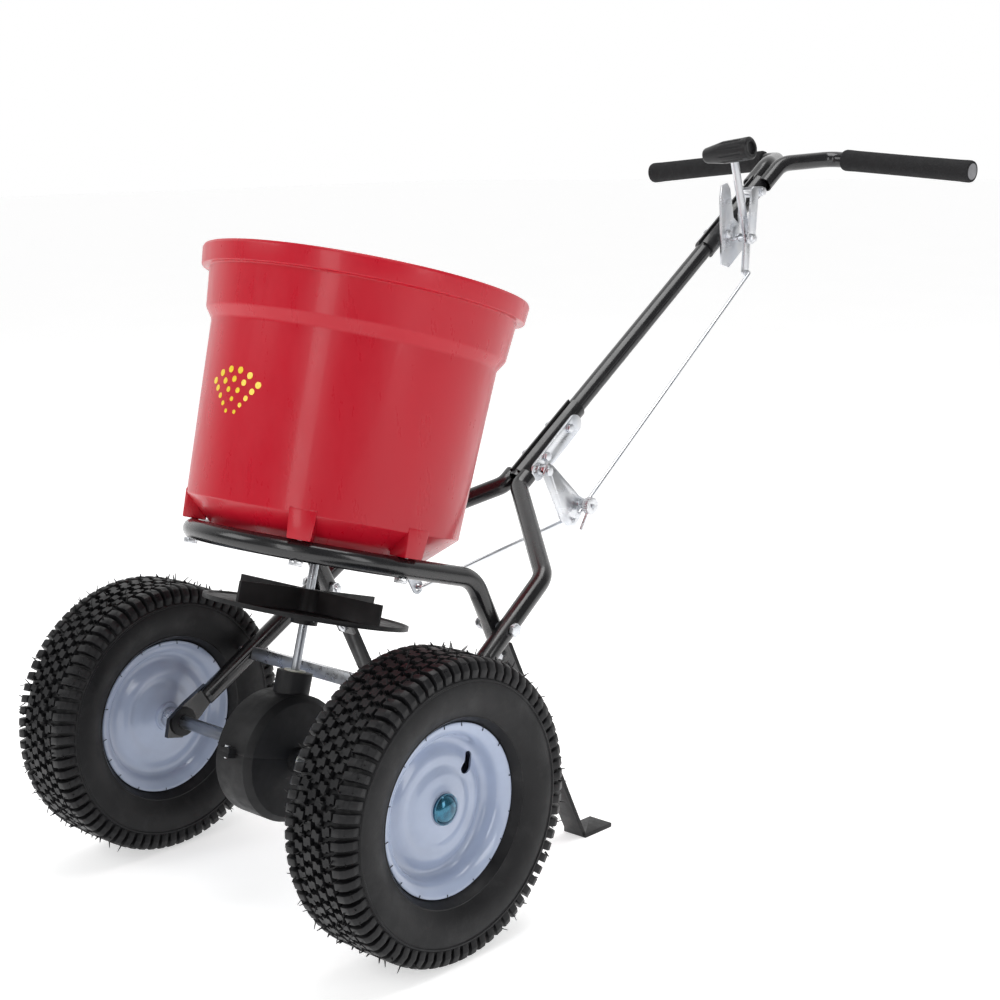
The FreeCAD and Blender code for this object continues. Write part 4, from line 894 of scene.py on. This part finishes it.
class SPREADER_OT_dot_fan(bpy.types.Operator):
    """Printed fan of seed dots on the hopper's front"""
    bl_idname = "spreader.dot_fan"
    bl_label = "Dot fan"

    def execute(self, context):
        bm = bmesh.new()
        lay = Matrix.Rotation(math.pi / 2 - math.atan(WALL_SLOPE), 4, "Y")
        for row in range(FAN_ROWS):
            reach = FAN_FIRST + FAN_PITCH * row
            size = DOT_RADIUS + DOT_GROWTH * row
            for i in range(2 + row):
                swing = (i / (1 + row) - 0.5) * FAN_OPENING
                height = FAN_HEIGHT + reach * math.cos(swing) - FAN_FOOT
                wall = HIGH_WALL_R + (height - WALL_HIGH) * WALL_SLOPE
                angle = FAN_ANGLE + reach * math.sin(swing) / wall
                made = bmesh.ops.create_cone(bm, cap_ends=True, segments=20, radius1=size, radius2=size,
                                             depth=DOT_THICKNESS)["verts"]
                out = Matrix.Rotation(angle, 4, "Z") @ Matrix.Translation((wall + DOT_PROUD, 0, height))
                bmesh.ops.transform(bm, matrix=out @ lay, verts=made)
        new_piece("hopper_dot_fan", bm, "dot_print", "frame", ())
        return {"FINISHED"}


# ------------------------------------------------------------------ grips
GRIP_R = 0.0150
GRIP_BORE_R = 0.0111
GRIP_FACE_R = 0.0125
END_SLICE = 0.0040


def grip_ends(node, side):
    """Middles of a straight tubular node's outer and inner end, from its own vertices."""
    points = [vert.co for vert in frame["nodes"][node].data.vertices]
    outer_x = max(side * point.x for point in points)
    inner_x = min(side * point.x for point in points)
    outer = [point for point in points if side * point.x > outer_x - END_SLICE]
    inner = [point for point in points if side * point.x < inner_x + END_SLICE]
    return sum(outer, Vector()) / len(outer), sum(inner, Vector()) / len(inner)


class SPREADER_OT_foam_grips(bpy.types.Operator):
    """Foam sleeves with rounded, slightly swollen ends"""
    bl_idname = "spreader.foam_grips"
    bl_label = "Foam grips"

    def execute(self, context):
        bulge = context.scene.spreader_body.grip_bulge
        for name, side, _ in WHEEL_SIDES:
            start, end = grip_ends(name + "_grip", side)
            length = (end - start).length
            r = GRIP_R - bulge
            half = [(GRIP_BORE_R, 0.0), (GRIP_FACE_R, 0.0), (r - 0.0006, 0.0007), (r + bulge, 0.0034),
                    (r + bulge, 0.0100), (r, 0.0200)]
            outline = half + [(r - 0.0002, length / 2)] + [(radius, length - at) for radius, at in half[::-1]]
            bm = bmesh.new()
            spun(bm, outline, "Z", TURNED_STEPS)
            turn = (end - start).to_track_quat("Z", "Y").to_matrix().to_4x4()
            bmesh.ops.transform(bm, matrix=Matrix.Translation(start) @ turn, verts=bm.verts)
            new_piece(name + "_foam_grip", bm, "grip_foam", "frame", (name + "_grip",), 40.0,
                      Matrix.Identity(4))
        return {"FINISHED"}


# ------------------------------------------------------------------ carried-over nodes
COPIES = {
    "black_enamel": ("hopper_ring", "left_wheel_arm", "right_wheel_arm", "handle_stem", "left_handlebar",
                     "right_handlebar"),
    "satin_black": ("left_stand_leg", "right_stand_leg"),
    "zinc_plate": ("hopper_bolts", "cross_brace", "frame_bolts", "leg_bolts", "stem_bolts", "guide_screws",
                   "gearbox_screws", "axle_washers", "lever_bracket", "lever_pivot_bolt", "control_lever",
                   "upper_rod", "crank_bracket", "crank_pin", "bell_crank", "adjuster_knob", "lower_rod"),
    "drawn_steel": ("gate_plate", "axle", "impeller_shaft", "agitator", "shaft_pins", "wheel_pin",
                    "adjuster_block", "rod_cotter"),
    "black_plastic": ("gate_guide", "gearbox_upper", "gearbox_lower", "impeller", "arm_bushes"),
    "grip_plastic": ("lever_grip",),
    "grey_plastic": ("left_end_plug", "right_end_plug"),
    "valve_rubber": ("left_valve", "right_valve"),
    "natural_nylon": ("gearbox_bushes", "shaft_bush", "crown_gear", "left_hub_bushes", "right_hub_bushes"),
    "sintered_steel": ("pinion",),
}
UNSOFTENED = ("upper_rod", "lower_rod", "agitator", "rod_cotter", "shaft_pins", "wheel_pin", "crown_gear",
              "hopper_ring", "left_wheel_arm", "right_wheel_arm", "handle_stem", "left_handlebar",
              "right_handlebar")


def copies_of(finish, context):
    """Finished copies of every CAD node that has this finish."""
    soften = context.scene.spreader_body.edge_soften
    for node in COPIES[finish]:
        soft_copy(node, finish, 0.0 if node in UNSOFTENED else soften)
    return {"FINISHED"}


class SPREADER_OT_frame_tubes(bpy.types.Operator):
    """Enamelled frame tubes and the stand's flat bars"""
    bl_idname = "spreader.frame_tubes"
    bl_label = "Frame tubes"

    def execute(self, context):
        copies_of("black_enamel", context)
        return copies_of("satin_black", context)


class SPREADER_OT_zinc_parts(bpy.types.Operator):
    """Zinc-plated brackets, rods, levers and fasteners"""
    bl_idname = "spreader.zinc_parts"
    bl_label = "Zinc parts"

    def execute(self, context):
        return copies_of("zinc_plate", context)


class SPREADER_OT_steel_parts(bpy.types.Operator):
    """Plain steel axle, shaft, pins, gate and pinion"""
    bl_idname = "spreader.steel_parts"
    bl_label = "Steel parts"

    def execute(self, context):
        copies_of("sintered_steel", context)
        return copies_of("drawn_steel", context)


class SPREADER_OT_mouldings(bpy.types.Operator):
    """Moulded gearbox, impeller, gate guide, bearings, plugs and valves"""
    bl_idname = "spreader.mouldings"
    bl_label = "Mouldings"

    def execute(self, context):
        for finish in ("black_plastic", "grip_plastic", "grey_plastic", "valve_rubber", "natural_nylon"):
            copies_of(finish, context)
        return {"FINISHED"}


# ------------------------------------------------------------------ stage
FLOOR_HALF = 30.0
FADE_FROM = -0.1
FADE_TO = 0.65
LIT_POINT = Vector((0, -0.15, 0.4))
# name, place, width, height, power
LIGHTS = (("key_light", (0.97, -2.63, 1.35), 0.6, 1.9, 13),
          ("side_light", (2.8, -0.4, 1.4), 0.9, 1.8, 16),
          ("top_light", (0.2, 0.1, 2.9), 1.8, 1.8, 42),
          ("front_fill", (-1.4, -2.8, 2.2), 1.6, 1.6, 26))


def look_from(stage):
    """Rotation of a camera that looks inwards from an azimuth and elevation, with roll."""
    a, e = stage.azimuth, stage.elevation
    behind = Vector((math.sin(a) * math.cos(e), -math.cos(a) * math.cos(e), math.sin(e)))
    right = Vector((math.cos(a), math.sin(a), 0))
    up = behind.cross(right)
    base = Matrix((right, up, behind)).transposed()
    return base @ Matrix.Rotation(stage.roll, 3, "Z")


def soft_light(name, place, width, height, power):
    """Rectangular lamp that faces the machine."""
    data = bpy.data.lights.new(name, "AREA")
    data.shape = "RECTANGLE"
    data.size = width
    data.size_y = height
    data.energy = power
    lamp = bpy.data.objects.new(name, data)
    bpy.context.scene.collection.objects.link(lamp)
    lamp.location = place
    lamp.rotation_euler = (LIT_POINT - Vector(place)).to_track_quat("-Z", "Y").to_euler()


def light_box(scene, stage):
    """World that is white behind the machine and dim on the camera's side."""
    world = bpy.data.worlds.new("studio")
    world.use_nodes = True
    nodes, links = world.node_tree.nodes, world.node_tree.links
    facing = nodes.new("ShaderNodeVectorMath")
    facing.operation = "DOT_PRODUCT"
    facing.inputs[1].default_value = (-math.sin(stage.azimuth), math.cos(stage.azimuth), 0)
    fade = nodes.new("ShaderNodeMapRange")
    fade.interpolation_type = "SMOOTHSTEP"
    fade.inputs["From Min"].default_value = FADE_FROM
    fade.inputs["From Max"].default_value = FADE_TO
    fade.inputs["To Min"].default_value = stage.surround
    fade.inputs["To Max"].default_value = stage.backdrop
    links.new(nodes.new("ShaderNodeTexCoord").outputs["Generated"], facing.inputs[0])
    links.new(facing.outputs["Value"], fade.inputs["Value"])
    links.new(fade.outputs["Result"], nodes["Background"].inputs["Strength"])
    nodes["Background"].inputs["Color"].default_value = (1, 1, 1, 1)
    scene.world = world


def pale_floor(scene, stage):
    """Wide plain table that glows a little, so that it stays pale."""
    bm = bmesh.new()
    bmesh.ops.create_grid(bm, x_segments=2, y_segments=2, size=FLOOR_HALF)
    mesh = bpy.data.meshes.new("studio_floor")
    bm.to_mesh(mesh)
    bm.free()
    floor = bpy.data.objects.new("studio_floor", mesh)
    scene.collection.objects.link(floor)
    pale = Finish("studio_floor", stage.floor_colour, 0.8, specular=0.1)
    pale.set("Emission Color", (1, 1, 1, 1))
    pale.set("Emission Strength", stage.floor_glow)
    pale.tint(pale.noise(2.0), tuple(0.98 * c for c in stage.floor_colour), 0.4, 0.6)
    mesh.materials.append(pale.material)


class SPREADER_OT_stage(bpy.types.Operator):
    """Camera, pale floor and soft studio lights"""
    bl_idname = "spreader.stage"
    bl_label = "Stage"

    def execute(self, context):
        stage = context.scene.spreader_stage
        data = bpy.data.cameras.new("view_camera")
        data.lens = stage.lens
        data.sensor_width = 36.0
        data.shift_x, data.shift_y = stage.shift
        data.clip_end = 100.0
        camera = bpy.data.objects.new("view_camera", data)
        context.scene.collection.objects.link(camera)
        camera.matrix_world = Matrix.Translation(stage.camera_at) @ look_from(stage).to_4x4()
        context.scene.camera = camera

        pale_floor(context.scene, stage)
        light_box(context.scene, stage)
        context.scene.view_settings.view_transform = "Standard"
        for name, place, width, height, power in LIGHTS:
            soft_light(name, place, width, height, power)
        return {"FINISHED"}


# ------------------------------------------------------------------ panel and registration
class SPREADER_PT_panel(bpy.types.Panel):
    """Settings and build steps of the spreader"""
    bl_idname = "SPREADER_PT_panel"
    bl_label = "Broadcast spreader"
    bl_space_type = "VIEW_3D"
    bl_region_type = "UI"
    bl_category = "Spreader"

    def draw(self, context):
        for operator in OPERATORS:
            self.layout.operator(operator.bl_idname, text=operator.bl_label)
        for name in SETTINGS:
            group = getattr(context.scene, name)
            box = self.layout.box()
            for prop in group.__annotations__:
                box.prop(group, prop)


OPERATORS = (SPREADER_OT_stage, SPREADER_OT_tyres, SPREADER_OT_rims, SPREADER_OT_hub_caps, SPREADER_OT_hopper,
             SPREADER_OT_dot_fan, SPREADER_OT_foam_grips, SPREADER_OT_frame_tubes, SPREADER_OT_zinc_parts,
             SPREADER_OT_steel_parts, SPREADER_OT_mouldings)
SETTINGS = {"spreader_wheels": SpreaderWheelSettings, "spreader_body": SpreaderBodySettings,
            "spreader_colours": SpreaderColourSettings, "spreader_stage": SpreaderStageSettings}


def register():
    """Add the settings, operators and panel to Blender."""
    for name, group in SETTINGS.items():
        bpy.utils.register_class(group)
        setattr(bpy.types.Scene, name, PointerProperty(type=group))
    for operator in OPERATORS:
        bpy.utils.register_class(operator)
    bpy.utils.register_class(SPREADER_PT_panel)


def unregister():
    """Take them away again."""
    bpy.utils.unregister_class(SPREADER_PT_panel)
    for operator in reversed(OPERATORS):
        bpy.utils.unregister_class(operator)
    for name, group in SETTINGS.items():
        delattr(bpy.types.Scene, name)
        bpy.utils.unregister_class(group)


def main():
    register()
    for operator in OPERATORS:
        group, action = operator.bl_idname.split(".")
        getattr(getattr(bpy.ops, group), action)()


if __name__ == "__main__":
    main()
